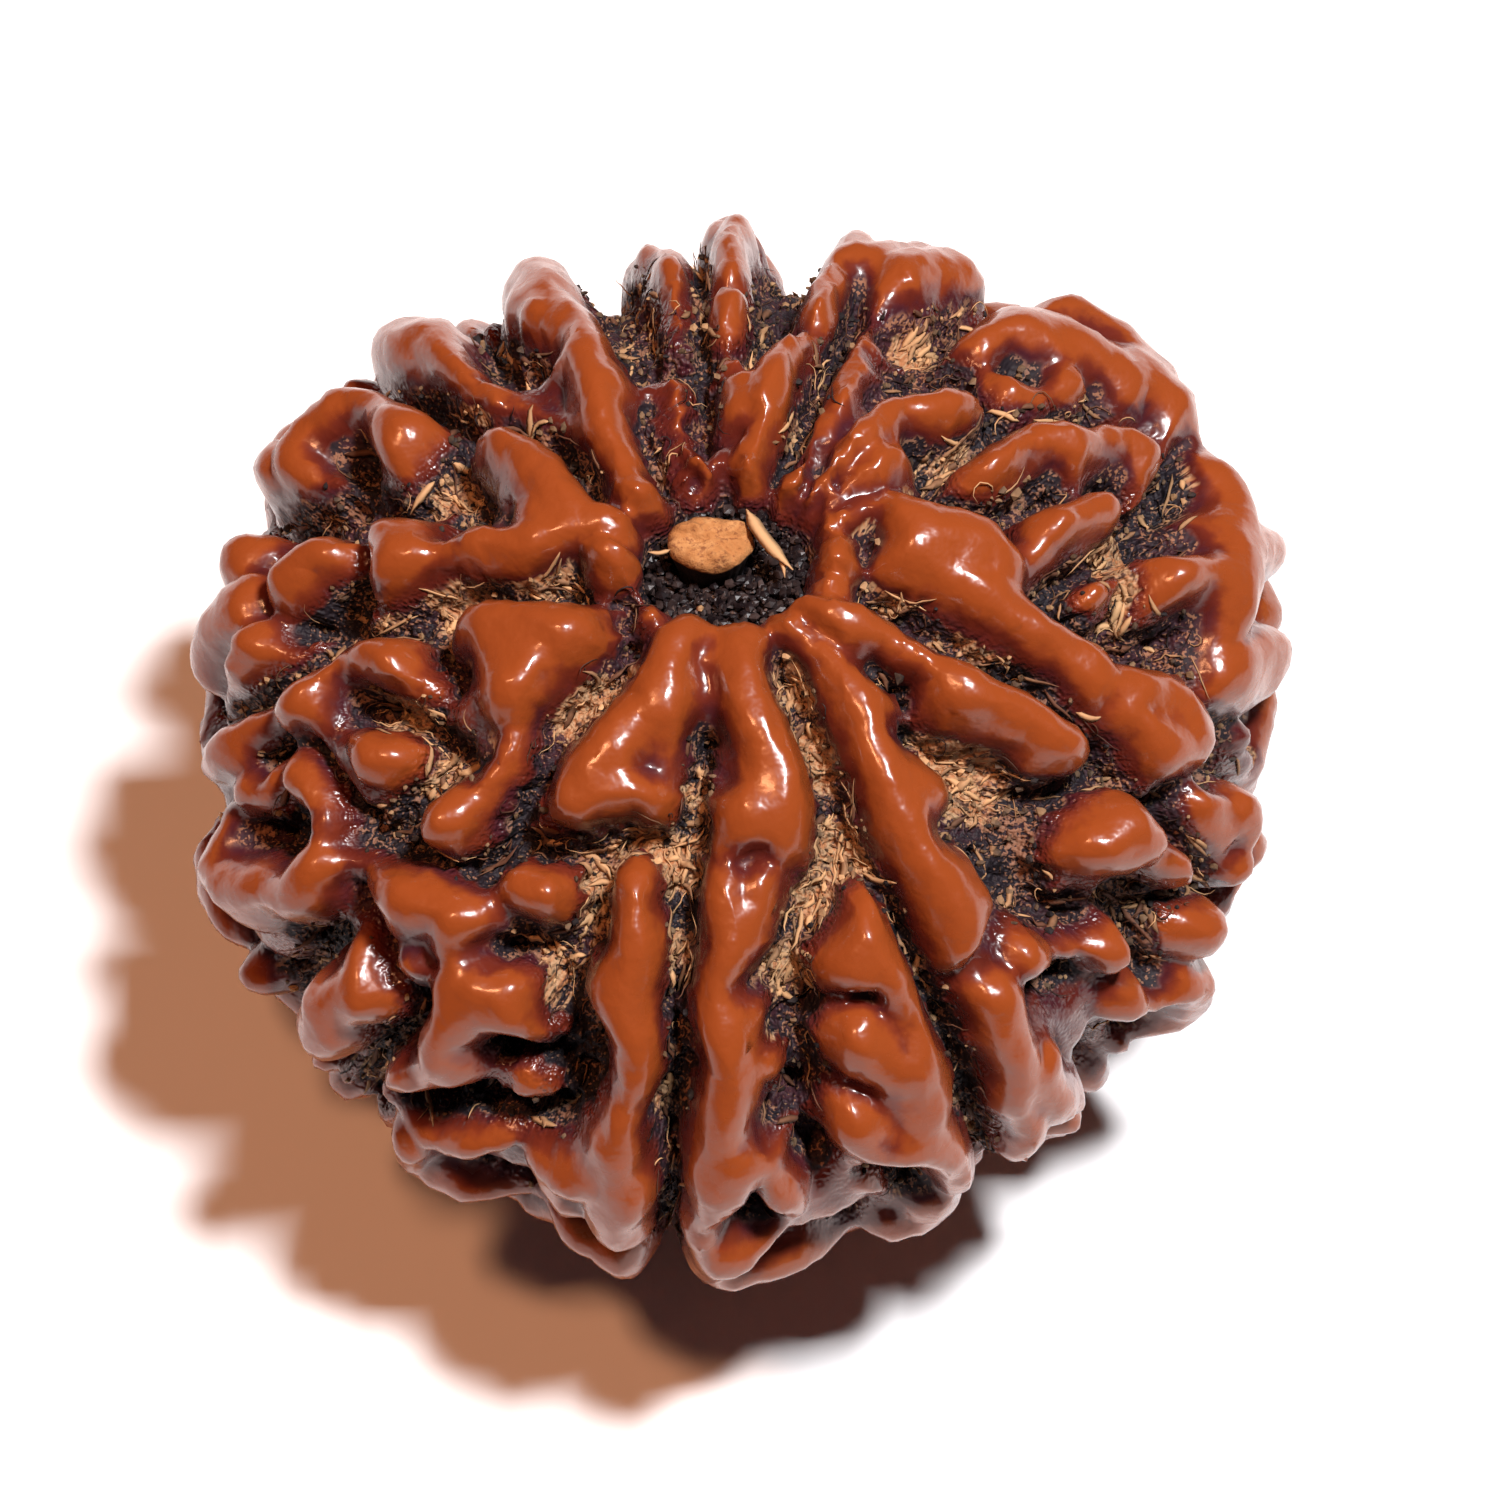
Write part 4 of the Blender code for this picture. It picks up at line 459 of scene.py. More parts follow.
# Limits of the seeded draws there: places in degrees, half widths and crest heights in millimetres
SUTURE_STEPS = 9
SUTURE_SWAY = 0.8
SUTURE_WIDTHS = (0.12, 0.28)
SHOULDER_STEPS = 5
SHOULDER_SWAY = 0.18
SHOULDER_STARTS = (0, 6)
SHOULDER_LENGTHS = (9, 24)
SHOULDER_GAPS = (2, 6)
SHOULDER_WIDTHS = (0.5, 0.75)
SHOULDER_CRESTS = (1.9, 2.1)
FACE_PIT_STARTS = (2, 8)
FACE_PIT_SHARES = (0.38, 0.62)
FACE_PIT_WIDTHS = (0.16, 0.42)
FACE_PIT_LEAN = 0.14
FACE_PIT_LENGTHS = (1.5, 6.0)
FACE_PIT_BEND = 0.05
BAR_GAPS = (2.5, 4.5)
BAR_TILT = 3.5
BAR_WIDTHS = (0.5, 0.8)
BAR_CRESTS = (1.85, 2.15)
NEXT_FACE_PIT = (2.5, 5.0)
SIDE_CUT_ODDS = 0.55
SIDE_CUT_SHARES = (0.35, 0.75)
SIDE_CUT_WIDTHS = ((0.1, 0.2), (0.08, 0.24))

# The shell's mesh, thinned to this many triangles, and how far around a vertex its hollowness is judged
SHELL_TRIANGLES = 192000
HOLLOW_ROUNDS = 30

# Small relief: the height where the floor's fibres begin to fade and how far up they fade, how far from
# the pit they are full, and the waves of lumps and fibres over the skin and along the grain
FLOOR_TOP = (0.35, 0.7)
PIT_CLEARANCE = 0.5
LUMPS_ON_SKIN = ((0.045, 1.6, 31), (0.02, 0.7, 32))
LUMPS_ON_GRAIN = ((0.012, 0.4, 36),)
FIBRES_ON_GRAIN = ((0.07, 0.55, 33), (0.07, 0.32, 34))
FIBRES_ON_SKIN = ((0.04, 0.3, 35),)

# Painted light round the upper pole: how much lighter the skin is made there, in millimetres of height,
# how far from the pole it reaches, and how many pit radii further off the lower half counts
POLE_PAINTED_LIGHT = 0.5
POLE_PAINTED_LIGHT_SPREAD = 4.5
FAR_SIDE = 9

# Levels over the furrows' floor, in millimetres, between which the shell's finish changes: flanks partly
# painted shade, highest crests partly painted light
SLOPE_TO_CREST = (0.95, 2.2)
WEAR_AND_PAINTED_LIGHT_BAND = (1.7, 2.6)
FLOOR_TO_SLOPE = (0.25, 0.85)
BARE_WOOD_ENDS = (0.6, 1.15)
TOO_DEEP_FOR_WOOD = (0.25, 0.7)
DULL_TO_OILED = (0.4, 1.1)
GRIT_ENDS = (0.5, 1.3)

# Grain that runs along the meridians
GRAIN_GIRTH = 12.8
GRAIN_STRETCH = 0.16
GRAIN_POLES = (12, 168)

# Loose fibre: spacing of the tries along a furrow in degrees, and the height up to which it lies
FIBRE_STEP = 1.0
FLOOR_REACH = 1.1
HIGHEST_FIBRE = 1.4
CLEAR_OF_GROUND = 0.12

# Slivers: odds of one on plain floor and what wood adds, joints and bend, limits of the draws, and the
# tint on plain floor, what wood adds to it and its spread
SLIVER_ODDS = (0.12, 0.95)
SLIVER_JOINTS = 5
SLIVER_BEND = 0.16
SLIVER_LENGTHS = (0.3, 1.2)
SLIVER_STRAY = 0.28
SLIVER_LIE = 0.05
SLIVER_RISES = (0.02, 0.2)
RAISED_SLIVERS = 0.4
SLIVER_WIDTHS = (0.035, 0.11)
SLIVER_FLATNESS = (0.25, 0.5)
SLIVER_TINT = (0.2, 0.5, 0.28)

# Hairs: odds of a pale and of a dark one on plain floor and what wood adds, joints, reach over the
# furrow's width, height they start at, then limits of the draws
PALE_HAIR_ODDS = (0.25, 0.7)
DARK_HAIR_ODDS = (0.8, -0.3)
HAIR_JOINTS = 7
HAIR_REACH = 1.15
HAIR_LIE = 0.01
HAIR_LENGTHS = (0.3, 1.3)
HAIR_STRAY = 0.7
HAIR_WIDTHS = (0.012, 0.024)
PALE_HAIR_BEND, PALE_HAIR_LIFT = 0.5, 0.3
DARK_HAIR_BEND, DARK_HAIR_LIFT = 0.6, 0.25

# Strands: how they taper at the root and at the tip, and how thin they get
ROOT_TAPER = 0.18
TIP_TAPER = 0.3
THINNEST = 0.12

# Grit: its reach over a furrow's width, sizes, how its tint follows the bare wood, and how uneven a
# grain is
GRIT_REACH = 1.1
GRIT_SIZES = (0.03, 0.1)
GRIT_OUTSIZE = 0.4
GRIT_TINT = (0.35, 0.8)
GRAIN_STRETCHES = (0.5, 1.3)
GRAIN_LUMPS = (0.6, 1.25)

# Seeds of the loose pieces
GRAIN_SEED = 77
FIBRE_SEED = 101
GRIT_SEED = 202

# Looking into the furrows: where a look starts before the crests, how far past them it goes, the
# furthest that a nearer crest may stand up, how square to the eye a place must be, and the edge of the
# sooty dirt and painted shade
STAND_OFF = 3.0
FARTHEST_FLOOR = 4.0
NEAREST_CREST = 0.5
FACES_EYE = 0.25
SOOT_AND_SHADE_FADE = 0.22

# Crumbs in the pit: the height of their bed over the bead's middle and its depth, how clear they stay
# of the wall and the pith, how far they heap up, and the share, radii and tints of bright and dark ones
PIT_GRAINS = 1100
PIT_BED = 7.7
PIT_BED_DEPTH = 0.45
PIT_MARGIN = 0.42
PITH_MARGIN = 0.95
HEAP = 0.16
BRIGHT_CRUMBS = 0.1
BRIGHT_SIZES, BRIGHT_TINTS = (0.03, 0.06), (0.6, 1.0)
DARK_SIZES, DARK_TINTS = (0.05, 0.15), (0, 0.35)

# Splinters that lie across the pit, each its points, half width, half thickness and lightness
PIT_SPLINTERS = (
    (((0.45, 1.7, 8.5), (0.72, 1.1, 8.6), (1.05, 0.62, 8.62), (1.5, 0.12, 8.55)), 0.16, 0.05, 0.95),
    (((0.95, 0.9, 8.6), (1.25, 0.5, 8.55), (1.32, 0.0, 8.4)), 0.08, 0.03, 0.85),
    (((-1.25, 0.75, 8.35), (-1.5, 0.6, 8.45), (-1.75, 0.55, 8.6)), 0.06, 0.02, 0.85),
    (((-0.55, -0.45, 7.95), (-0.6, -0.7, 8.2), (-0.55, -0.9, 8.5)), 0.08, 0.03, 0.75),
)

# Woody patches as they show on the photographed side: azimuth, colatitude, radius and strength
WOOD_PATCHES = (
    (-41, 21.5, 1.1, 1.0), (-36, 17, 0.8, 0.9), (-8, 26, 0.7, 0.8), (-9, 33, 0.9, 1.0), (-13, 32.5, 0.9, 1.0),
    (-18, 33, 0.7, 0.8), (29, 16.5, 0.9, 1.0), (23.5, 24, 1.0, 1.0), (21, 34.5, 1.0, 1.0), (14, 38, 0.8, 0.9),
    (2.5, 35.5, 0.5, 0.7), (8.5, 45, 0.9, 0.9), (77.5, 17.5, 0.8, 0.9), (73.5, 27.5, 0.9, 0.9),
    (48.5, 33.5, 1.2, 1.0), (48, 37.5, 1.1, 0.9), (99, 41, 1.0, 1.0), (124.5, 20.5, 1.1, 1.0),
    (118, 24, 0.9, 0.9), (144, 32.5, 0.8, 0.9), (-84.5, 37.5, 0.7, 0.7), (-84, 28, 1.0, 0.9),
    (-85, 18.5, 0.9, 0.9), (-130, 35, 0.8, 0.8), (-159.5, 35.5, 0.8, 0.6), (-170, 45, 0.9, 0.7),
    (-68, 37, 0.9, 1.0), (-54, 30, 0.8, 0.9), (-54, 38.5, 0.8, 0.8), (-23.5, 51, 0.8, 0.9),
    (-21, 40, 1.0, 0.9),
    (-7.5, 42, 0.6, 0.8), (-7, 60, 0.6, 0.6), (-20.5, 67.5, 0.6, 0.6), (5.5, 53.5, 0.8, 0.7),
    (38.5, 25.5, 0.5, 0.6), (80, 28.5, 0.8, 0.8), (82.5, 39, 0.8, 0.7), (92, 45.5, 1.0, 0.9),
    (-163.5, 12, 0.8, 0.8), (112, 13, 0.7, 0.8), (157, 16, 0.7, 0.8), (140, 42, 0.6, 0.7),
    (113, 60, 0.9, 0.8),
    (99.5, 52, 0.8, 0.8), (-113, 55.5, 0.9, 0.6), (-150.5, 36.5, 0.8, 0.6), (-108, 30, 0.9, 0.8),
)

# How far from the pit bare wood is full, and the wavelength and share of what is common to all furrows
WOOD_PIT_CLEARANCE = 0.4
WOOD_WAVE, WOOD_SEED = 4.2, 41
COMMON_WOOD = (0.45, 0.25)

# Way to the viewer, and the photograph's frame: its side and the upper pole's axis in pixels, and its scale
TOWARDS_VIEWER = np.array(
    [0.0, -math.cos(math.radians(SIGHT_ELEVATION)), math.sin(math.radians(SIGHT_ELEVATION))]
)
SIGHT = -TOWARDS_VIEWER
PHOTO_SIDE = 1500
POLE_PIXEL = (727, 748)
PIXELS_A_MM = 42.85
SENSOR = 36.0
CAMERA_DISTANCE = 0.19
NEAREST_SEEN = 0.01

# Floor and lamps
FLOOR_SIZE = 0.6
LAMP_DISTANCE = 0.3
LAMP_SIZE = 0.038
WHITE_WAY = (0.27, 0.0, 0.96)
WARM_WAY = (-0.265, -0.085, 0.96)
WHITE_LIGHT = (1.0, 0.985, 1.0)
ROOM_COLOUR = (0.9, 0.86, 1.0, 1.0)


def blend_between(table, azimuth):
    """Value of a table of (azimuth, value) pairs at these azimuths, eased from one pair to the next."""
    at, value = np.array(table, float).T
    turned = np.mod(azimuth, 360.0)
    after = np.clip(np.searchsorted(at, turned, side="right"), 1, len(at) - 1)
    share = (turned - at[after - 1]) / (at[after] - at[after - 1])
    share = share * share * (3 - 2 * share)
    return value[after - 1] + share * (value[after] - value[after - 1])


def crest_point(azimuth, colatitude):
    """Point in millimetres, from the bead's centre, on the surface that the crests reach."""
    azimuth = np.asarray(azimuth, float)
    colatitude = np.asarray(colatitude, float)
    turn, tilt = np.radians(azimuth), np.radians(colatitude)
    radius = blend_between(GIRTH, azimuth)
    from_pole = np.minimum(colatitude, 180 - colatitude)
    height = HALF_HEIGHT * np.cos(tilt)
    height -= np.sign(90 - colatitude) * POLE_DIMPLE * np.exp(-((from_pole / DIMPLE_SPREAD) ** 2))
    return np.stack(
        [radius * np.sin(tilt) * np.sin(turn), -radius * np.sin(tilt) * np.cos(turn), height], axis=-1
    )


def place_of(points):
    """Azimuth and colatitude of points in millimetres, on the rays that crest_point follows."""
    azimuth = np.degrees(np.arctan2(points[..., 0], -points[..., 1]))
    radius = blend_between(GIRTH, azimuth)
    across = np.hypot(points[..., 0], points[..., 1]) / radius
    return azimuth, np.degrees(np.arctan2(across, points[..., 2] / HALF_HEIGHT))


def under_sight(places, depth):
    """Places noted against the crests, moved this deep down the line of sight to where they lie."""
    places = np.array(places, float)
    points = crest_point(places[:, 0], places[:, 1])
    steepness = -(outward(places[:, 0], places[:, 1]) @ SIGHT)
    limit = blend_between(SIGHT_LIMITS, places[:, 0]) * depth / SIGHT_DEPTH
    travel = np.minimum(depth / np.maximum(steepness, 0.1), limit)
    travel *= np.clip(places[:, 1] / POLE_SHALLOWS, 0, 1)
    azimuth, colatitude = place_of(points + travel[:, None] * SIGHT)
    turned = places[:, 0] + np.mod(azimuth - places[:, 0] + 180, 360) - 180
    return np.stack([turned, colatitude, places[:, 2]], axis=1)


def outward(azimuth, colatitude):
    """Unit vectors that point out of the bead at these places."""
    turn, tilt = np.radians(azimuth), np.radians(colatitude)
    radius = blend_between(GIRTH, azimuth)
    way = np.stack(
        [
            np.sin(tilt) * np.sin(turn) / radius,
            -np.sin(tilt) * np.cos(turn) / radius,
            np.cos(tilt) / HALF_HEIGHT,
        ],
        axis=-1,
    )
    return way / np.linalg.norm(way, axis=-1, keepdims=True)


def run_of(places, step=2.5):
    """A run of (azimuth, colatitude, value) places as points on the crest surface, close together."""
    places = np.array(places, float)
    made = [places[:1]]
    for start, end in zip(places[:-1], places[1:]):
        count = max(1, math.ceil(np.abs(end[:2] - start[:2]).max() / step))
        share = np.linspace(0, 1, count + 1)[1:, None]
        made.append(start + share * (end - start))
    made = np.concatenate(made)
    return crest_point(made[:, 0], made[:, 1]), made[:, 2]


def gap_to_run(points, run, widths):
    """Distance of points from the edge of a run: below 0 inside it."""
    least = np.full(len(points), np.inf)
    for start, end, first, last in zip(run[:-1], run[1:], widths[:-1], widths[1:]):
        along = end - start
        share = np.clip((points - start) @ along / max(along @ along, 1e-9), 0, 1)
        gap = np.linalg.norm(points - start - share[:, None] * along, axis=1)
        least = np.minimum(least, gap - first - share * (last - first))
    return least


def near_run(points, run, reach):
    """Indexes of the points within reach of a run's bounding ball."""
    middle = (run.min(axis=0) + run.max(axis=0)) / 2
    radius = np.linalg.norm(run - middle, axis=1).max() + reach
    return np.nonzero(((points - middle) ** 2).sum(axis=1) < radius * radius)[0]


def ripple(points, wavelength, seed):
    """Smooth seeded unevenness between about -1 and 1, for features about one wavelength long."""
    draw = np.random.default_rng(seed)
    total = np.zeros(len(points))
    for _ in range(WAVES_IN_A_RIPPLE):
        way = draw.normal(size=3)
        way *= 2 * math.pi / wavelength / np.linalg.norm(way)
        total += np.sin(points @ way + draw.uniform(0, 2 * math.pi))
    return total * math.sqrt(2 / WAVES_IN_A_RIPPLE) / RIPPLE_CALM


def add_waves(total, points, waves):
    """A height with ripples added to it, each a height, a wavelength and a seed."""
    for height, wavelength, seed in waves:
        total = total + height * ripple(points, wavelength, seed)
    return total


def near_places(points, places, half_width):
    """Indexes of the points near a run of places, and how far from it: 0 on it, 1 at its edge."""
    run, _ = run_of([(*place, 0.0) for place in places])
    near = near_run(points, run, half_width)
    return near, np.clip(gap_to_run(points[near], run, np.zeros(len(run))) / half_width, 0, 1)


def sink(heights, points, hollows):
    """Lower these heights along runs, each a half width, a depth and its places."""
    for half_width, depth, places in hollows:
        near, away = near_places(points, places, half_width)
        heights[near] -= depth * (1 - away**2) ** 2


def gap_to_pit(points):
    """Distance of points from the pit's edge, seen from above: below 0 inside it."""
    return np.hypot(points[:, 0] - PIT_AT[0], (points[:, 1] - PIT_AT[1]) / PIT_SQUASH) - PIT_RADIUS


def clear_of_pit(points, width):
    """0 in the pit, 1 from this far outside it on, and 1 or more on the lower half."""
    return np.clip(gap_to_pit(points) / width, 0, 1) + (points[:, 2] < 0)


def hidden_runs():
    """Furrows and ridges from where the noted ones end to the lower pole, by one rule on each face."""
    draw = np.random.default_rng(FACE_SEED)
    furrows, ridges = [], []
    count = len(SUTURES)
    for index, (top, foot) in enumerate(SUTURES):
        places = []
        for share in np.linspace(0, 1, SUTURE_STEPS):
            sway = draw.uniform(-SUTURE_SWAY, SUTURE_SWAY) * math.sin(math.pi * share)
            azimuth = top[0] + share * (foot[0] - top[0]) + sway
            colatitude = top[1] + share * (foot[1] - top[1])
            places.append((azimuth, colatitude, draw.uniform(*SUTURE_WIDTHS)))
        furrows.append(places)
        next_top, next_foot = SUTURES[(index + 1) % count]
        left = np.array([top, foot], float)
        right = np.array([next_top, next_foot], float)
        if right[0, 0] < left[0, 0]:
            right[:, 0] += 360
        fill_face(draw, left, right, furrows, ridges)
    return furrows, ridges


def fill_face(draw, left, right, furrows, ridges):
    """Shoulder ridges along both sutures of one face, and pits with cross ridges between them."""
    start = min(left[0, 1], right[0, 1]) - FACE_START

    def across(share, colatitude):
        """Azimuth at this share of the way from the left suture to the right one."""
        ends = []
        for side in (left, right):
            down = np.clip((colatitude - side[0, 1]) / (side[1, 1] - side[0, 1]), 0, 1)
            ends.append(side[0, 0] + down * (side[1, 0] - side[0, 0]))
        return ends[0] + share * (ends[1] - ends[0])

    def width_at(colatitude):
        """Width of the face in millimetres."""
        degrees = across(1, colatitude) - across(0, colatitude)
        return math.radians(degrees) * FACE_RADIUS * math.sin(math.radians(colatitude))

    for inset in (SHOULDER_INSET, -SHOULDER_INSET):
        colatitude = start + draw.uniform(*SHOULDER_STARTS)
        while colatitude < FACE_STOP:
            length = draw.uniform(*SHOULDER_LENGTHS)
            run = []
            for step in np.linspace(0, 1, SHOULDER_STEPS):
                here = min(colatitude + step * length, FACE_STOP)
                sway = draw.uniform(-SHOULDER_SWAY, SHOULDER_SWAY)
                share = (inset + sway) / max(width_at(here), LEAST_WIDTH)
                share = share if inset > 0 else 1 + share
                run.append((across(share, here), here))
            ridges.append((draw.uniform(*SHOULDER_WIDTHS), draw.uniform(*SHOULDER_CRESTS), run))
            colatitude += length + draw.uniform(*SHOULDER_GAPS)
    colatitude = start + draw.uniform(*FACE_PIT_STARTS)
    while colatitude < LAST_PIT:
        if width_at(colatitude) <= NARROW_FACE:
            colatitude += NARROW_STEP
            continue
        share = draw.uniform(*FACE_PIT_SHARES)
        size = draw.uniform(*FACE_PIT_WIDTHS)
        lean = draw.uniform(-FACE_PIT_LEAN, FACE_PIT_LEAN)
        length = draw.uniform(*FACE_PIT_LENGTHS)
        bend = draw.uniform(-FACE_PIT_BEND, FACE_PIT_BEND)
        middle, end = colatitude + length / 2, colatitude + length
        furrows.append([
            (across(share - lean, colatitude), colatitude, size * 0.7),
            (across(share + bend, middle), middle, size),
            (across(share + lean, end), end, size * 0.6),
        ])
        bar = end + draw.uniform(*BAR_GAPS)
        tilt = draw.uniform(-BAR_TILT, BAR_TILT)
        rungs = ((0.2, bar - tilt), (0.5, bar), (0.8, bar + tilt))
        run = [(across(share, here), here) for share, here in rungs]
        ridges.append((draw.uniform(*BAR_WIDTHS), draw.uniform(*BAR_CRESTS), run))
        if draw.random() < SIDE_CUT_ODDS:
            side = 0.0 if draw.random() < 0.5 else 1.0
            inner = side + (0.5 - side) * draw.uniform(*SIDE_CUT_SHARES)
            ends = ((side, middle), (inner, middle + tilt))
            furrows.append([
                (across(share, here), here, draw.uniform(*widths))
                for (share, here), widths in zip(ends, SIDE_CUT_WIDTHS)
            ])
        colatitude = bar + draw.uniform(*NEXT_FACE_PIT)


def relief(azimuth, colatitude):
    """Height in millimetres over the furrows' floor at these places."""
    points = crest_point(azimuth, colatitude)
    swayed = points + SWAY * np.stack([ripple(points, SWAY_WAVE, seed) for seed in SWAY_SEEDS], axis=1)
    more_furrows, more_ridges = hidden_runs()
    nearness = np.zeros(len(points))
    for places in [under_sight(places, SIGHT_DEPTH) for places in FURROWS] + more_furrows:
        run, widths = run_of(places)
        widths = widths + PLUMPNESS
        near = near_run(swayed, run, LIP + LIP_REACH + widths.max())
        nearness[near] += np.exp(-gap_to_run(swayed[near], run, widths) / FURROW_JOIN)
    gap = -FURROW_JOIN * np.log(np.maximum(nearness, 1e-30))
    pit = gap_to_pit(points)
    swell = add_waves(SWELL, points, SWELL_WAVES)
    swell -= RIM_SINK * np.exp(-((pit / RIM_SPREAD) ** 2))
    height = np.exp(swell / RIDGE_JOIN)
    seen_ridges = [
        (half_width, crest, under_sight([(*place, 0.0) for place in places], RIDGE_DEPTH)[:, :2])
        for half_width, crest, places in RIDGES
    ]
    for half_width, crest, places in seen_ridges + more_ridges:
        near, away = near_places(swayed, places, half_width + RIDGE_SPREAD)
        rise = swell[near] + (crest - swell[near]) * (1 - away**2) ** RIDGE_BLUNTNESS
        height[near] += np.exp(rise / RIDGE_JOIN) - np.exp(swell[near] / RIDGE_JOIN)
    height = RIDGE_JOIN * np.log(np.maximum(height, 1.0))
    sink(height, swayed, DENTS)
    pit -= PLEATING * (RIM_HEIGHT - height)
    edge = np.clip(np.minimum(gap / LIP, pit / PIT_LIP), 0, 1)
    rounded = np.sqrt(1 - (1 - edge) ** 2)
    floor = add_waves(0.0, points, FLOOR_WAVES)
    sink(floor, swayed, HOLLOWS)
    sunk = np.clip(-pit / PIT_WALL, 0, 1)
    floor = floor + (PIT_FLOOR - floor) * sunk * sunk * (3 - 2 * sunk)
    return floor + (height - floor) * rounded


def stone_points(ways):
    """Surface points in millimetres from the bead's centre, for unit vectors of a ball."""
    azimuth = np.degrees(np.arctan2(ways[:, 0], -ways[:, 1]))
    colatitude = np.degrees(np.arccos(np.clip(ways[:, 2], -1, 1)))
    rise = relief(azimuth, colatitude) - CREST - PLUMPNESS
    return crest_point(azimuth, colatitude) + rise[:, None] * outward(azimuth, colatitude)


def vertex_array(mesh):
    """Vertex positions of a mesh, one row each."""
    flat = np.empty(len(mesh.vertices) * 3)
    mesh.vertices.foreach_get("co", flat)
    return flat.reshape(-1, 3)


def normals_of(mesh):
    """Vertex normals of a mesh, one row each."""
    flat = np.empty(len(mesh.vertices) * 3)
    mesh.vertex_normals.foreach_get("vector", flat)
    return flat.reshape(-1, 3)


def plump(mesh, amount):
    """Push a surface out along its own normals, which rounds ridges and draws furrows in."""
    mesh.update()
    mesh.vertices.foreach_set("co", (vertex_array(mesh) + amount * normals_of(mesh)).ravel())
    mesh.update()


def keep_outer_body(mesh):
    """Drop the loose scraps that closing furrows leave inside."""
    shape = bmesh.new()
    shape.from_mesh(mesh)
    unseen = set(shape.verts)
    bodies = []
    while unseen:
        body = {unseen.pop()}
        edge = list(body)
        while edge:
            near = {link.other_vert(vert) for vert in edge for link in vert.link_edges}
            edge = list(near - body)
            body |= near
        unseen -= body
        bodies.append(body)
    bodies.sort(key=len)
    scraps = [vert for body in bodies[:-1] for vert in body]
    bmesh.ops.delete(shape, geom=scraps, context="VERTS")
    shape.to_mesh(mesh)
    shape.free()


def applied(thing):
    """The mesh of an object with its modifiers carried out, in place of its own."""
    graph = bpy.context.evaluated_depsgraph_get()
    mesh = bpy.data.meshes.new_from_object(thing.evaluated_get(graph))
    thing.modifiers.clear()
    thing.data = mesh
    return mesh


def store(mesh, name, values):
    """Keep one number, or one vector, of each vertex for the materials to read."""
    values = np.asarray(values, np.float32)
    if values.ndim == 1:
        mesh.attributes.new(name, "FLOAT", "POINT").data.foreach_set("value", values)
    else:
        mesh.attributes.new(name, "FLOAT_VECTOR", "POINT").data.foreach_set("vector", values.ravel())


def new_piece(name, mesh, material, middle):
    """Link a mesh into the scene as a piece of the bead, at its middle and riding on its one body."""
    thing = bpy.data.objects.new(name, mesh)
    bpy.context.scene.collection.objects.link(thing)
    thing.location = middle * MM
    mesh.materials.clear()
    mesh.materials.append(material)
    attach(thing, "root")
    return thing


def heights_of(points):
    """Height over the furrows' floor, in millimetres, of points from the bead's middle."""
    azimuth, colatitude = place_of(points)
    under = crest_point(azimuth, colatitude) - points
    return CREST - np.einsum("ij,ij->i", under, outward(azimuth, colatitude))


def neighbour_mean(mesh, values, rounds):
    """Values of the vertices, evened out over the mesh's edges so many times."""
    edges = np.empty(len(mesh.edges) * 2, np.int64)
    mesh.edges.foreach_get("vertices", edges)
    first, second = edges.reshape(-1, 2).T
    count = np.bincount(edges, minlength=len(mesh.vertices)) + 1.0
    for _ in range(rounds):
        total = values.copy()
        for column in range(values.shape[1]):
            total[:, column] += np.bincount(first, values[second, column], len(values))
            total[:, column] += np.bincount(second, values[first, column], len(values))
        values = total / count[:, None]
    return values


def hollowness(mesh, points):
    """How far each vertex lies under its wider surroundings, in millimetres: below 0 on crests."""
    mean = neighbour_mean(mesh, points.copy(), HOLLOW_ROUNDS)
    return np.einsum("ij,ij->i", mean - points, normals_of(mesh))


def skin_behind(tree, point, way):
    """The skin's point and normal behind a point of the crest surface on this way, or None."""
    start = point - way * STAND_OFF
    spot, normal, _, gap = tree.ray_cast(Vector(start), Vector(way), STAND_OFF + FARTHEST_FLOOR)
    if spot is None or gap < STAND_OFF - NEAREST_CREST:
        return None
    return np.array(spot), np.array(normal)


def ways_in(points):
    """Ways to look in at points of the crest surface: along the sight where it faces the eye."""
    inward = -outward(*place_of(points))
    return np.where((inward @ SIGHT > FACES_EYE)[:, None], SIGHT, inward)


def seen_runs():
    """Noted furrows as dense runs on the crest surface: points, half widths and ways to look in."""
    runs = []
    for places in FURROWS:
        points, widths = run_of(places, FIBRE_STEP)
        runs.append((points, widths, ways_in(points)))
    return runs


def furrow_runs():
    """Every furrow as a dense run, seen along the sight and straight down, and the unseen ones."""
    runs = seen_runs()
    for places in [under_sight(places, SIGHT_DEPTH) for places in FURROWS] + hidden_runs()[0]:
        points, widths = run_of(places, FIBRE_STEP)
        runs.append((points, widths, -outward(*place_of(points))))
    return runs


def soot_and_shade_share(tree, points):
    """How much sooty dirt and painted shade darken the skin where the eye meets a noted furrow: 1 in it,
    easing to 0 beside it.
    """
    share = np.zeros(len(points))
    for run, widths, ways in seen_runs():
        for point, width, way in zip(run, widths, ways):
            found = skin_behind(tree, point, way)
            if found is None:
                continue
            reach = width + SOOT_AND_SHADE_FADE
            near = np.nonzero(((points - found[0]) ** 2).sum(axis=1) < reach * reach)[0]
            away = np.linalg.norm(points[near] - found[0], axis=1)
            share[near] = np.maximum(share[near], np.clip((reach - away) / SOOT_AND_SHADE_FADE, 0, 1))
    return share


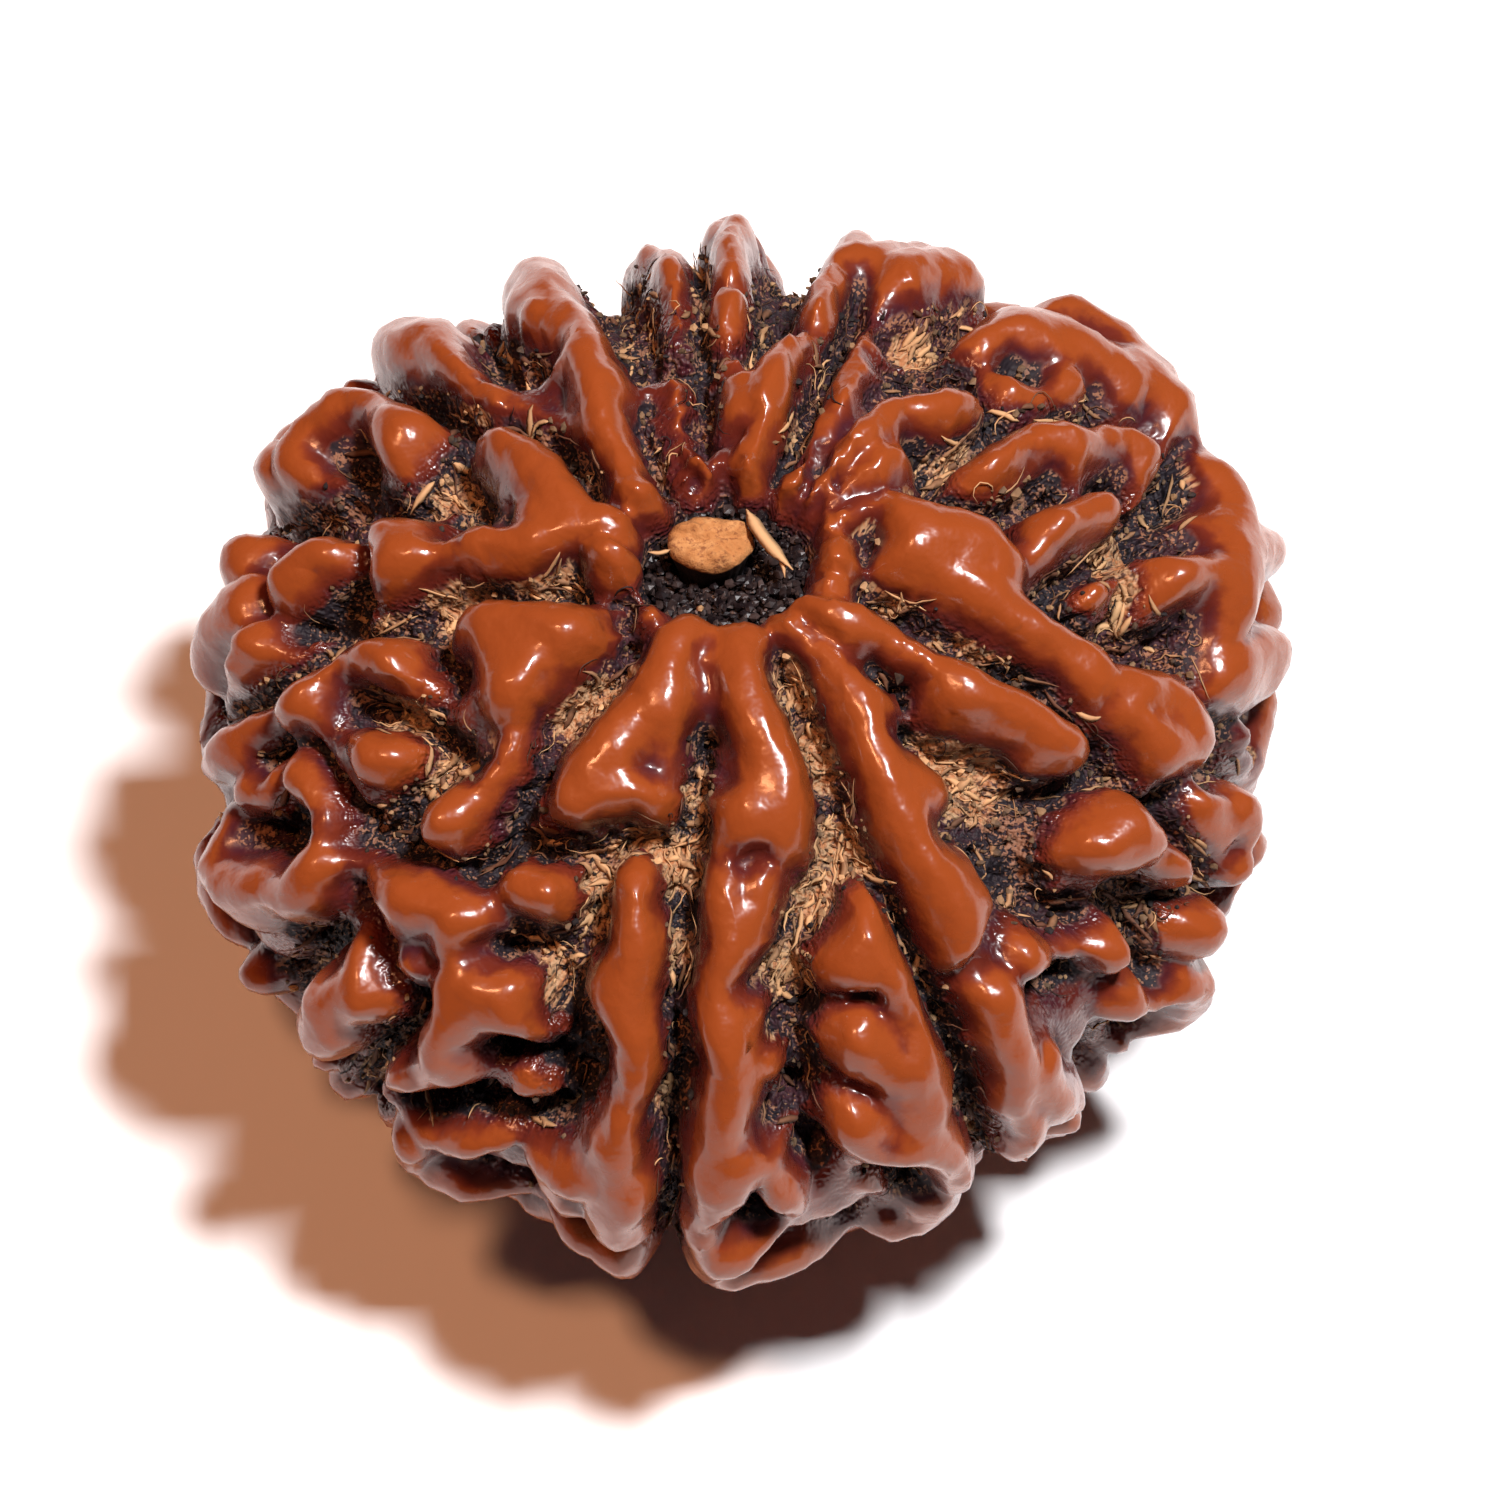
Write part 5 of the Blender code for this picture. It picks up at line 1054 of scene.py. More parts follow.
def wood_share(tree, points):
    """How much bare wood shows at these points: near 1 in the woody patches, near 0 elsewhere."""
    share = np.zeros(len(points))
    for azimuth, colatitude, radius, strength in WOOD_PATCHES:
        noted = crest_point(azimuth, colatitude)
        found = skin_behind(tree, noted, SIGHT)
        if found is not None:
            gap = np.linalg.norm(points - found[0], axis=1)
            share = np.maximum(share, strength * np.exp(-((gap / radius) ** 4)))
    away = np.clip((points @ TOWARDS_VIEWER) / HALF_HEIGHT, -1, 1)
    common = 0.5 + 0.5 * ripple(points, WOOD_WAVE, WOOD_SEED)
    share = np.maximum(share, common * (COMMON_WOOD[0] - COMMON_WOOD[1] * away))
    return np.clip(share, 0, 1) * clear_of_pit(points, WOOD_PIT_CLEARANCE)


def grain_of(points):
    """Coordinates that stretch along the meridians, for grain that runs from pole to pole."""
    azimuth, colatitude = place_of(points)
    turn = np.radians(azimuth)
    girth = GRAIN_GIRTH * np.sin(np.radians(np.clip(colatitude, *GRAIN_POLES)))
    along = np.radians(colatitude) * GRAIN_GIRTH
    return np.stack([girth * np.sin(turn), -girth * np.cos(turn), along * GRAIN_STRETCH], axis=1) * MM


def fine_skin(look):
    """Mesh of the stone's skin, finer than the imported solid, with the same shape and place."""
    mesh = bpy.data.meshes.new("shell")
    shape = bmesh.new()
    bmesh.ops.create_icosphere(shape, subdivisions=BALL_SUBDIVISIONS, radius=1.0)
    shape.to_mesh(mesh)
    shape.free()
    mesh.vertices.foreach_set("co", (stone_points(vertex_array(mesh)) * MM).ravel())
    plump(mesh, PLUMPNESS * MM)
    thing = bpy.data.objects.new("shell_draft", mesh)
    bpy.context.scene.collection.objects.link(thing)
    remesh = thing.modifiers.new("Skin", "REMESH")
    remesh.mode, remesh.voxel_size = "VOXEL", look.skin_step
    smooth = thing.modifiers.new("Smooth", "SMOOTH")
    smooth.factor, smooth.iterations = 0.5, SKIN_SMOOTHING
    mesh = applied(thing)
    keep_outer_body(mesh)
    roughen(mesh)
    thing.modifiers.new("Triangles", "TRIANGULATE")
    mesh = applied(thing)
    thin = thing.modifiers.new("Thin", "DECIMATE")
    thin.ratio = min(1.0, SHELL_TRIANGLES / len(mesh.polygons))
    mesh = applied(thing)
    bpy.data.objects.remove(thing)
    return mesh


def roughen(mesh):
    """Give the skin its small relief: lumps on the crests, fibres and grit on the furrows' floor."""
    points = vertex_array(mesh) / MM
    floor = 1 - np.clip((heights_of(points) - FLOOR_TOP[0]) / FLOOR_TOP[1], 0, 1)
    floor = np.clip(floor * clear_of_pit(points, PIT_CLEARANCE), 0, 1)
    grain = grain_of(points) / MM
    lumps = add_waves(add_waves(0.0, points, LUMPS_ON_SKIN), grain, LUMPS_ON_GRAIN)
    fibres = add_waves(add_waves(0.0, grain, FIBRES_ON_GRAIN), points, FIBRES_ON_SKIN)
    rise = lumps * (1 - floor) + fibres * floor
    mesh.vertices.foreach_set("co", ((points + rise[:, None] * normals_of(mesh)) * MM).ravel())
    mesh.update()


def middle_of(points):
    """Where the bead's middle stands in the scene, in millimetres, for its skin's points."""
    low, high = points.min(axis=0), points.max(axis=0)
    across = (np.array(STONE_LOW) + np.array(STONE_HIGH)) / 2 / MM - (low + high) / 2
    return np.array([across[0], across[1], STONE_HIGH.z / MM - high[2]])


def skin_tree():
    """The shell as a tree for finding its nearest point, and the bead's middle in the scene."""
    shell = bpy.data.objects["shell"]
    corners = np.empty(len(shell.data.polygons) * 3, np.int32)
    shell.data.polygons.foreach_get("vertices", corners)
    points = vertex_array(shell.data) / MM
    tree = BVHTree.FromPolygons(points.tolist(), corners.reshape(-1, 3).tolist())
    return tree, np.array(shell["middle"])


class Field:
    """One socket of a material: arithmetic on it adds Math nodes, so shader maths reads as it is."""

    def __init__(self, recipe, socket):
        self.recipe = recipe
        self.socket = socket

    def maths(self, operation, first, second):
        """A Math node on two terms."""
        return self.recipe.node("ShaderNodeMath", {"operation": operation}, {0: first, 1: second})

    def __add__(self, other):
        return self.maths("ADD", self, other)

    def __radd__(self, other):
        return self.maths("ADD", other, self)

    def __sub__(self, other):
        return self.maths("SUBTRACT", self, other)

    def __rsub__(self, other):
        return self.maths("SUBTRACT", other, self)

    def __mul__(self, other):
        return self.maths("MULTIPLY", self, other)

    def __rmul__(self, other):
        return self.maths("MULTIPLY", other, self)

    def band(self, low, high):
        """Eased share from 0 at low to 1 at high."""
        values = {"Value": self, "From Min": low, "From Max": high}
        return self.recipe.node("ShaderNodeMapRange", {"interpolation_type": "SMOOTHSTEP"}, values)


class Recipe:
    """A material under construction on one Principled shader."""

    def __init__(self, name, **constants):
        self.material = bpy.data.materials.new(name)
        self.material.use_nodes = True
        self.tree = self.material.node_tree
        self.shader = self.tree.nodes["Principled BSDF"]
        for socket, value in constants.items():
            self.shader.inputs[socket.replace("_", " ")].default_value = value

    def put(self, socket, value):
        """Link a field to a socket, or set it."""
        if isinstance(value, Field):
            self.tree.links.new(value.socket, socket)
        elif hasattr(value, "__len__") and socket.type == "RGBA":
            socket.default_value = (*value[:3], 1.0)
        else:
            socket.default_value = value

    def node(self, kind, settings=None, values=None, output=0):
        """A node of this kind, its settings made first and its sockets after, as a field of one output."""
        node = self.tree.nodes.new(kind)
        for name, value in (settings or {}).items():
            setattr(node, name, value)
        for name, value in (values or {}).items():
            self.put(node.inputs[name], value)
        return Field(self, node.outputs[output])

    def kept(self, name, output="Fac"):
        """A number or vector that store kept on the mesh."""
        return self.node("ShaderNodeAttribute", {"attribute_name": name}, output=output)

    def where(self):
        """The object's own coordinates."""
        return self.node("ShaderNodeTexCoord", output="Object")

    def noise(self, size, where, detail=2.0, rough=0.5, twist=0.0):
        """Noise between 0 and 1 whose features are about this many millimetres long."""
        return self.node("ShaderNodeTexNoise", None, {
            "Vector": where, "Scale": 1.0 / (size * MM), "Detail": detail, "Roughness": rough,
            "Distortion": twist,
        })

    def blend(self, first, second, share):
        """Colour between two colours."""
        settings = {"data_type": "RGBA", "clamp_factor": True}
        return self.node("ShaderNodeMix", settings, {0: share, 6: first, 7: second}, output=2)

    def bump(self, height, depth):
        """Normals for a height between 0 and 1 that stands for a depth in millimetres."""
        return self.node("ShaderNodeBump", None, {"Height": height, "Strength": 1.0, "Distance": depth * MM})

    def finish(self, **fields):
        """Feed the shader and give the material."""
        for name, value in fields.items():
            self.put(self.shader.inputs[name.replace("_", " ")], value)
        return self.material


def shell_material(look):
    """Oiled crests, maroon slopes, dark floors with bare wood and sooty dirt, and painted shade and light."""
    recipe = Recipe("shell", Specular_IOR_Level=0.4, Coat_Roughness=0.12, IOR=1.45)
    where = recipe.where()
    grain = recipe.kept("grain", "Vector")
    height, hollow, wood, soot_and_shade = (recipe.kept(name) for name in ("height", "hollow", "wood", "soot_and_shade"))
    broad = recipe.noise(2.6, where, 1.0)
    patch = recipe.noise(0.9, where, 3.0, 0.6)
    fine = recipe.noise(0.2, where, 2.0, 0.6)
    speck = recipe.noise(0.11, where, 1.0, 0.7)
    streak = recipe.noise(0.34, grain, 2.0, 0.65)
    thread = recipe.noise(0.13, grain, 1.0, 0.6, 0.4)
    # Painted shade: creases are made darker by how hollow they lie under their surroundings
    level = height + (patch - 0.5) * 0.7 + (fine - 0.5) * 0.25 - hollow * look.crease_painted_shade
    # Sooty dirt and painted shade: the skin is made darker where the eye looks into the noted furrows
    level = level - soot_and_shade * (1.0 + (streak - 0.5) * 1.6)
    crest = recipe.blend(look.crest_colour, look.russet_colour, broad.band(0.4, 0.66))
    # Lighter on the highest crests: part wear, part painted light
    wear_and_painted_light = (level + (patch - 0.5) * 1.3 + (streak - 0.5) * 0.6).band(*WEAR_AND_PAINTED_LIGHT_BAND)
    crest = recipe.blend(crest, look.honey_colour, wear_and_painted_light * 0.85)
    slope = recipe.blend(look.slope_colour, look.plum_colour, patch.band(0.42, 0.66))
    # Flanks darker than the crests by height: part their own maroon, part painted shade
    shade = recipe.blend(slope, crest, (level + (broad - 0.5) * 0.5).band(*SLOPE_TO_CREST))
    mixed = (broad + (fine - 0.5) * 0.6).band(0.42, 0.75) * 0.8
    floor = recipe.blend(look.floor_colour, look.plum_colour, mixed)
    dust = (speck + (patch - 0.5) * 0.9 + (wood - 0.3) * 0.12).band(0.53, 0.64)
    floor = recipe.blend(floor, recipe.blend(look.dust_colour, look.wood_colour, broad), dust * 0.75)
    shade = recipe.blend(floor, shade, level.band(*FLOOR_TO_SLOPE))
    under = 1.0 - level.band(*BARE_WOOD_ENDS)
    bare = (streak * 0.55 + thread * 0.45 + (wood - 0.5) * 0.55).band(0.55, 0.64) * under
    timber = recipe.blend(look.wood_colour, look.dry_wood_colour, thread.band(0.35, 0.65))
    timber = recipe.blend(timber, look.dark_wood_colour, fine.band(0.52, 0.68))
    bare = bare * (1.0 - (0.0 - height).band(*TOO_DEEP_FOR_WOOD))
    shade = recipe.blend(shade, timber, bare)
    dull = 1.0 - level.band(*DULL_TO_OILED)
    roughness = look.gloss + patch * 0.2 + dull * 0.45
    low = 1.0 - height.band(*GRIT_ENDS)
    grit = (recipe.noise(0.13, grain, 1.0) + recipe.noise(0.11, where, 0.0)) * low
    rise = recipe.noise(0.8, where, 1.0) * 0.7 + recipe.noise(0.22, where, 1.0) * 0.16 + grit
    coat = 0.25 * (1.0 - dull)
    return recipe.finish(
        Base_Color=shade, Roughness=roughness, Normal=recipe.bump(rise, 0.1), Coat_Weight=coat
    )


def pith_material(look):
    """Dry pith: tan end grain on top, near-black sides."""
    recipe = Recipe("pith", Specular_IOR_Level=0.25)
    where = recipe.where()
    side = recipe.kept("side")
    patch = recipe.noise(0.5, where, 3.0, 0.65)
    fine = recipe.noise(0.15, where, 3.0, 0.75)
    top = recipe.blend(look.top_colour, look.pale_colour, patch.band(0.4, 0.7))
    top = recipe.blend(top, look.pore_colour, (fine + (patch - 0.5) * 0.3).band(0.5, 0.68) * 0.75)
    shade = recipe.blend(top, look.side_colour, (side + (patch - 0.5) * 0.5).band(0.35, 0.7))
    return recipe.finish(Base_Color=shade, Roughness=0.78 + fine * 0.2, Normal=recipe.bump(fine, 0.05))


def fibre_material(name, dark, light, gloss=0.6):
    """Loose fibre, from dark to light by each strand's own tint."""
    recipe = Recipe(name, Specular_IOR_Level=0.3)
    where = recipe.where()
    tint = recipe.kept("tint")
    patch = recipe.noise(0.3, where, 3.0, 0.6)
    shade = recipe.blend(dark, light, (tint + (patch - 0.5) * 0.5).band(0.0, 1.0))
    return recipe.finish(Base_Color=shade, Roughness=gloss + patch * 0.3, Normal=recipe.bump(patch, 0.02))


def unit_rows(ways):
    """Rows of vectors at length 1."""
    return ways / np.maximum(np.linalg.norm(ways, axis=1, keepdims=True), 1e-9)


def grow(tree, draw, spot, normal, way, length, joints, bend, lift):
    """A strand that creeps over the skin from a spot: its points and normals, lifted towards its end."""
    points, normals = [spot + lift[0] * normal], [normal]
    step = length / joints
    turn = draw.uniform(-bend, bend)
    for joint in range(1, joints + 1):
        way = way - (way @ normal) * normal
        way /= max(np.linalg.norm(way), 1e-6)
        turn += draw.uniform(-bend, bend) * 0.5
        side = np.cross(normal, way)
        way = way * math.cos(turn) + side * math.sin(turn)
        place, new_normal, _, gap = tree.find_nearest(Vector(spot + way * step))
        if place is None or gap > step * 0.9:
            break
        spot, normal = np.array(place), np.array(new_normal)
        rise = lift[0] + (lift[1] - lift[0]) * (joint / joints) ** 2
        points.append(spot + rise * normal)
        normals.append(normal)
    return np.array(points), np.array(normals)


def strand_mesh(name, strands):
    """One mesh of many tapering strands, each (points, normals, half width, half thickness, tint)."""
    verts, faces, tints = [], [], []
    for points, normals, width, thickness, tint in strands:
        count = len(points)
        if count < 3:
            continue
        along = unit_rows(np.gradient(points, axis=0))
        side = unit_rows(np.cross(along, normals))
        rise = np.cross(side, along)
        share = np.linspace(0, 1, count)
        taper = np.clip(np.minimum(share / ROOT_TAPER, (1 - share) / TIP_TAPER), THINNEST, 1)[:, None]
        base = len(verts)
        ring = [side * width, rise * thickness, -side * width, -rise * thickness]
        for index in range(count):
            for spoke in ring:
                verts.append(points[index] + spoke[index] * taper[index])
                tints.append(tint)
        for index in range(count - 1):
            low = base + 4 * index
            for corner in range(4):
                after = (corner + 1) % 4
                faces.append((low + corner, low + after, low + 4 + after, low + 4 + corner))
        faces.append((base + 3, base + 2, base + 1, base))
        tip = base + 4 * (count - 1)
        faces.append((tip, tip + 1, tip + 2, tip + 3))
    mesh = bpy.data.meshes.new(name)
    mesh.from_pydata((np.array(verts) * MM).tolist(), [], faces)
    store(mesh, "tint", tints)
    mesh.shade_smooth()
    return mesh


def grit_mesh(name, grains):
    """One mesh of many small uneven grains, each (centre, radius, tint)."""
    shape = bmesh.new()
    bmesh.ops.create_icosphere(shape, subdivisions=1, radius=1.0)
    ball = np.array([vert.co[:] for vert in shape.verts])
    sides = np.array([[vert.index for vert in face.verts] for face in shape.faces])
    shape.free()
    draw = np.random.default_rng(GRAIN_SEED)
    verts, faces, tints = [], [], []
    for index, (centre, radius, tint) in enumerate(grains):
        stretch = draw.uniform(*GRAIN_STRETCHES, 3)
        uneven = draw.uniform(*GRAIN_LUMPS, (len(ball), 1))
        verts.append(centre + ball * uneven * stretch * radius)
        faces.append(sides + index * len(ball))
        tints.append(np.full(len(ball), tint))
    mesh = bpy.data.meshes.new(name)
    mesh.from_pydata((np.concatenate(verts) * MM).tolist(), [], np.concatenate(faces).tolist())
    store(mesh, "tint", np.concatenate(tints))
    return mesh


def furrow_spots(tree, draw, density, reach=1.0):
    """Seeded spots on the furrows' floors: point, normal, way along the furrow, and the bare wood there."""
    spots = []
    for run, widths, ways in furrow_runs():
        along = np.gradient(run, axis=0)
        lengths = np.linalg.norm(along, axis=1)
        for point, way_in, way, length, width in zip(run, ways, along, lengths, widths):
            if length < 1e-6:
                continue
            way = way / length
            side = np.cross(point, way)
            side /= max(np.linalg.norm(side), 1e-9)
            for _ in range(draw.poisson(density * length * (0.5 + width))):
                shift = draw.uniform(-1, 1) * (width + PLUMPNESS) * reach
                found = skin_behind(tree, point + side * shift, way_in)
                if found is not None:
                    spots.append((*found, way))
    points = np.array([spot[0] for spot in spots])
    shares = zip(spots, heights_of(points), wood_share(tree, points))
    return [(*spot, wood) for spot, high, wood in shares if high < FLOOR_REACH]


def make_splinters(tree, draw, look):
    """Flat slivers of torn wood that lie along the furrows."""
    strands = []
    for spot, normal, way, wood in furrow_spots(tree, draw, look.sliver_density):
        if draw.random() > SLIVER_ODDS[0] + SLIVER_ODDS[1] * wood**1.5:
            continue
        length = draw.uniform(*SLIVER_LENGTHS)
        way = way * draw.choice((-1, 1)) + draw.normal(size=3) * SLIVER_STRAY
        lie = draw.uniform(0.0, SLIVER_LIE)
        rise = draw.uniform(*SLIVER_RISES) if draw.random() < RAISED_SLIVERS else SLIVER_RISES[0]
        points, normals = grow(
            tree, draw, spot, normal, way, length, SLIVER_JOINTS, SLIVER_BEND, (lie, rise)
        )
        if heights_of(points).max() > HIGHEST_FIBRE:
            continue
        half = draw.uniform(*SLIVER_WIDTHS)
        tint = np.clip(SLIVER_TINT[0] + SLIVER_TINT[1] * wood + draw.normal() * SLIVER_TINT[2], 0, 1)
        strands.append((points, normals, half, half * draw.uniform(*SLIVER_FLATNESS), tint))
    return strands


def make_hairs(tree, draw, density, odds, bend, lift):
    """Thin hairs that curl over the furrows' floors."""
    strands = []
    for spot, normal, way, wood in furrow_spots(tree, draw, density, HAIR_REACH):
        if draw.random() > odds[0] + odds[1] * wood:
            continue
        length = draw.uniform(*HAIR_LENGTHS)
        way = way * draw.choice((-1, 1)) + draw.normal(size=3) * HAIR_STRAY
        rise = (HAIR_LIE, draw.uniform(0, lift))
        points, normals = grow(tree, draw, spot, normal, way, length, HAIR_JOINTS, bend, rise)
        if heights_of(points).max() > HIGHEST_FIBRE:
            continue
        half = draw.uniform(*HAIR_WIDTHS)
        strands.append((points, normals, half, half, draw.uniform(0, 1)))
    return strands


def make_grit(tree, draw, look):
    """Grains of dirt and wood dust on the furrows' floors."""
    grains = []
    for spot, normal, _, wood in furrow_spots(tree, draw, look.grit_density, GRIT_REACH):
        radius = draw.uniform(*GRIT_SIZES) * (1 + GRIT_OUTSIZE * draw.random() ** 3)
        tint = np.clip(draw.random() * (GRIT_TINT[0] + GRIT_TINT[1] * wood), 0, 1)
        grains.append((spot + normal * radius * 0.2, radius, tint))
    return grains


def pit_grains(draw):
    """Black crumbs that fill the pit round the pith, heaped towards its front right."""
    grains = []
    across = PIT_RADIUS - PIT_MARGIN
    while len(grains) < PIT_GRAINS:
        turn, reach = draw.uniform(0, 2 * math.pi), math.sqrt(draw.random())
        x = PIT_AT[0] + across * reach * math.cos(turn)
        y = PIT_AT[1] + across * PIT_SQUASH * reach * math.sin(turn)
        from_pith = ((x - PITH_AT[0]) / PITH_RADIUS, (y - PITH_AT[1]) / (PITH_RADIUS * PITH_SQUASH))
        if math.hypot(*from_pith) < PITH_MARGIN:
            continue
        bed = PIT_BED + HEAP * (x + PIT_AT[1] - y) / PIT_RADIUS
        bright = draw.random() < BRIGHT_CRUMBS
        radius = draw.uniform(*(BRIGHT_SIZES if bright else DARK_SIZES))
        tint = draw.uniform(*(BRIGHT_TINTS if bright else DARK_TINTS))
        grains.append((np.array([x, y, bed - draw.uniform(0, PIT_BED_DEPTH)]), radius, tint))
    return grains


def pith_mesh():
    """The pith plug: a ragged stub with an uneven top and grooved sides."""
    mesh = bpy.data.meshes.new("pith_plug")
    shape = bmesh.new()
    bmesh.ops.create_cone(
        shape, cap_ends=True, cap_tris=True, segments=PITH_SEGMENTS, radius1=1.0, radius2=1.0, depth=1.0
    )
    bmesh.ops.subdivide_edges(shape, edges=shape.edges[:], cuts=PITH_CUTS, use_grid_fill=True)
    bmesh.ops.triangulate(shape, faces=shape.faces[:])
    shape.to_mesh(mesh)
    shape.free()
    points = vertex_array(mesh)
    turn = np.arctan2(points[:, 1], points[:, 0])
    reach = np.hypot(points[:, 0], points[:, 1])
    share = points[:, 2] + 0.5
    ragged = 0.93 + 0.02 * np.sin(3 * turn + 0.4) + 0.02 * np.sin(7 * turn + 2.1)
    grooves = (1 - share) * (0.02 * np.sin(17 * turn + 3 * share) + 0.02 * np.sin(29 * turn + 1.3))
    flare = PITH_RADIUS * (ragged + grooves * reach) * (1 - PITH_TAPER * (1 - share))
    top = add_waves(PITH_HEIGHT, points, PITH_TOP_WAVES) - PITH_DOMING * reach**6
    height = share * (top + add_waves(0.0, points, PITH_CRUMBLE))
    placed = np.stack(
        [
            PITH_AT[0] + flare * reach * np.cos(turn),
            PITH_AT[1] + PITH_SQUASH * flare * reach * np.sin(turn),
            PITH_FOOT + height,
        ],
        axis=1,
    )
    mesh.vertices.foreach_set("co", (placed * MM).ravel())
    store(mesh, "side", np.clip((reach - 0.9) / 0.1, 0, 1) * 0.35 + np.clip((0.97 - share) * 6, 0, 1))
    mesh.shade_smooth()
    return mesh


def curve_strand(points, width, thickness, tint):
    """One strand through given points, lying flat."""
    points = np.array(points, float)
    share = np.linspace(0, len(points) - 1, 4 * len(points))
    path = np.stack([np.interp(share, range(len(points)), points[:, axis]) for axis in range(3)], axis=1)
    for _ in range(3):
        path[1:-1] = (path[:-2] + 2 * path[1:-1] + path[2:]) / 4
    normals = np.tile([0.0, 0.0, 1.0], (len(path), 1))
    return path, normals, width, thickness, tint


def strew(pieces, make_mesh, middle):
    """Add pieces of loose parts, each a name, its parts and its material, clear of the ground."""
    ground = CLEAR_OF_GROUND - middle[2]
    for name, parts, material in pieces:
        parts = [part for part in parts if np.atleast_2d(part[0])[:, 2].min() > ground]
        new_piece(name, make_mesh(name, parts), material, middle)


COLOUR = {"size": 3, "subtype": "COLOR"}


class StoneLook(bpy.types.PropertyGroup):
    """Sizes and colours of the stone's shell."""

    skin_step: bpy.props.FloatProperty(
        name="Skin step", description="Spacing of the shell's points", default=0.00012, min=0.00008,
        unit="LENGTH", subtype="DISTANCE", precision=5,
    )
    gloss: bpy.props.FloatProperty(
        name="Gloss", description="Least roughness of the oiled crests", default=0.16, min=0.0, max=1.0,
        subtype="FACTOR",
    )
    # Painted shade: how much the creases are darkened by their hollowness
    crease_painted_shade: bpy.props.FloatProperty(
        name="Crease darkness", description="How much darker creases are than crests", default=3.0, min=0.0,
    )
    crest_colour: bpy.props.FloatVectorProperty(
        name="Crest", description="Colour of the crests", default=(0.158, 0.026, 0.0085), **COLOUR
    )
    russet_colour: bpy.props.FloatVectorProperty(
        name="Russet", description="Darker, redder colour of some crests",
        default=(0.105, 0.0155, 0.0085), **COLOUR
    )
    # Honey on the highest crests is part wear, part painted light
    honey_colour: bpy.props.FloatVectorProperty(
        name="Honey", description="Lighter colour of worn crests", default=(0.24, 0.05, 0.0095), **COLOUR
    )
    # The flanks' colour is darker than the crests' partly as painted shade
    slope_colour: bpy.props.FloatVectorProperty(
        name="Slope", description="Colour of the ridges' flanks", default=(0.075, 0.0105, 0.0065), **COLOUR
    )
    plum_colour: bpy.props.FloatVectorProperty(
        name="Plum", description="Purple of the lower flanks", default=(0.045, 0.009, 0.014), **COLOUR
    )
    floor_colour: bpy.props.FloatVectorProperty(
        name="Floor", description="Near-black of the furrows' floors",
        default=(0.007, 0.0035, 0.007), **COLOUR
    )
    wood_colour: bpy.props.FloatVectorProperty(
        name="Wood", description="Bare wood in the furrows", default=(0.33, 0.13, 0.05), **COLOUR
    )
    dry_wood_colour: bpy.props.FloatVectorProperty(
        name="Dry wood", description="Paler, greyer bare wood", default=(0.36, 0.22, 0.12), **COLOUR
    )
    dust_colour: bpy.props.FloatVectorProperty(
        name="Dust", description="Pale dust on the furrows' floors", default=(0.2, 0.12, 0.09), **COLOUR
    )
    dark_wood_colour: bpy.props.FloatVectorProperty(
        name="Dark wood", description="Stained bare wood", default=(0.06, 0.025, 0.015), **COLOUR
    )


class PithLook(bpy.types.PropertyGroup):
    """Colours of the pith plug."""

    top_colour: bpy.props.FloatVectorProperty(
        name="Top", description="End grain of the pith", default=(0.36, 0.15, 0.048), **COLOUR
    )
    pale_colour: bpy.props.FloatVectorProperty(
        name="Pale", description="Drier spots of the pith", default=(0.46, 0.225, 0.085), **COLOUR
    )
    pore_colour: bpy.props.FloatVectorProperty(
        name="Pores", description="Pores of the pith", default=(0.16, 0.05, 0.02), **COLOUR
    )
    # Near-black colour that the sides and the top's rim take by the side attribute
    side_colour: bpy.props.FloatVectorProperty(
        name="Side", description="Blackened side of the pith", default=(0.02, 0.011, 0.009), **COLOUR
    )


class DebrisLook(bpy.types.PropertyGroup):
    """How much loose fibre and grit lies in the furrows, and its colours."""

    sliver_density: bpy.props.FloatProperty(
        name="Slivers", description="Slivers tried for each millimetre of furrow", default=5.0, min=0.0,
    )
    pale_hair_density: bpy.props.FloatProperty(
        name="Pale hairs", description="Pale hairs tried for each millimetre of furrow", default=1.8, min=0.0,
    )
    dark_hair_density: bpy.props.FloatProperty(
        name="Dark hairs", description="Dark hairs tried for each millimetre of furrow", default=2.0, min=0.0,
    )
    grit_density: bpy.props.FloatProperty(
        name="Grit", description="Grains for each millimetre of furrow", default=6.0, min=0.0,
    )
    pale_colour: bpy.props.FloatVectorProperty(
        name="Pale fibre", description="Lightest torn wood", default=(0.5, 0.29, 0.14), **COLOUR
    )
    brown_colour: bpy.props.FloatVectorProperty(
        name="Brown fibre", description="Darkest torn wood", default=(0.09, 0.035, 0.018), **COLOUR
    )
    black_colour: bpy.props.FloatVectorProperty(
        name="Black", description="Dirt and old fibre", default=(0.008, 0.005, 0.006), **COLOUR
    )
    grey_colour: bpy.props.FloatVectorProperty(
        name="Grey", description="Dust on dirt", default=(0.12, 0.08, 0.07), **COLOUR
    )


class StageLook(bpy.types.PropertyGroup):
    """Floor, lights and camera."""

    floor_colour: bpy.props.FloatVectorProperty(
        name="Floor", description="Colour of the pale floor", default=(0.9, 0.9, 0.905), **COLOUR
    )
    white_power: bpy.props.FloatProperty(
        name="White lamp", description="Power of the white overhead lamp in watts", default=1.5, min=0.0,
        subtype="POWER",
    )
    warm_power: bpy.props.FloatProperty(
        name="Warm lamp", description="Power of the warm lamp in watts", default=0.37, min=0.0,
        subtype="POWER",
    )
    warm_colour: bpy.props.FloatVectorProperty(
        name="Warm light", description="Colour of the warm lamp", default=(1.0, 0.42, 0.2), **COLOUR
    )
    room_light: bpy.props.FloatProperty(
        name="Room light", description="Strength of the light from all round", default=0.018, min=0.0,
    )


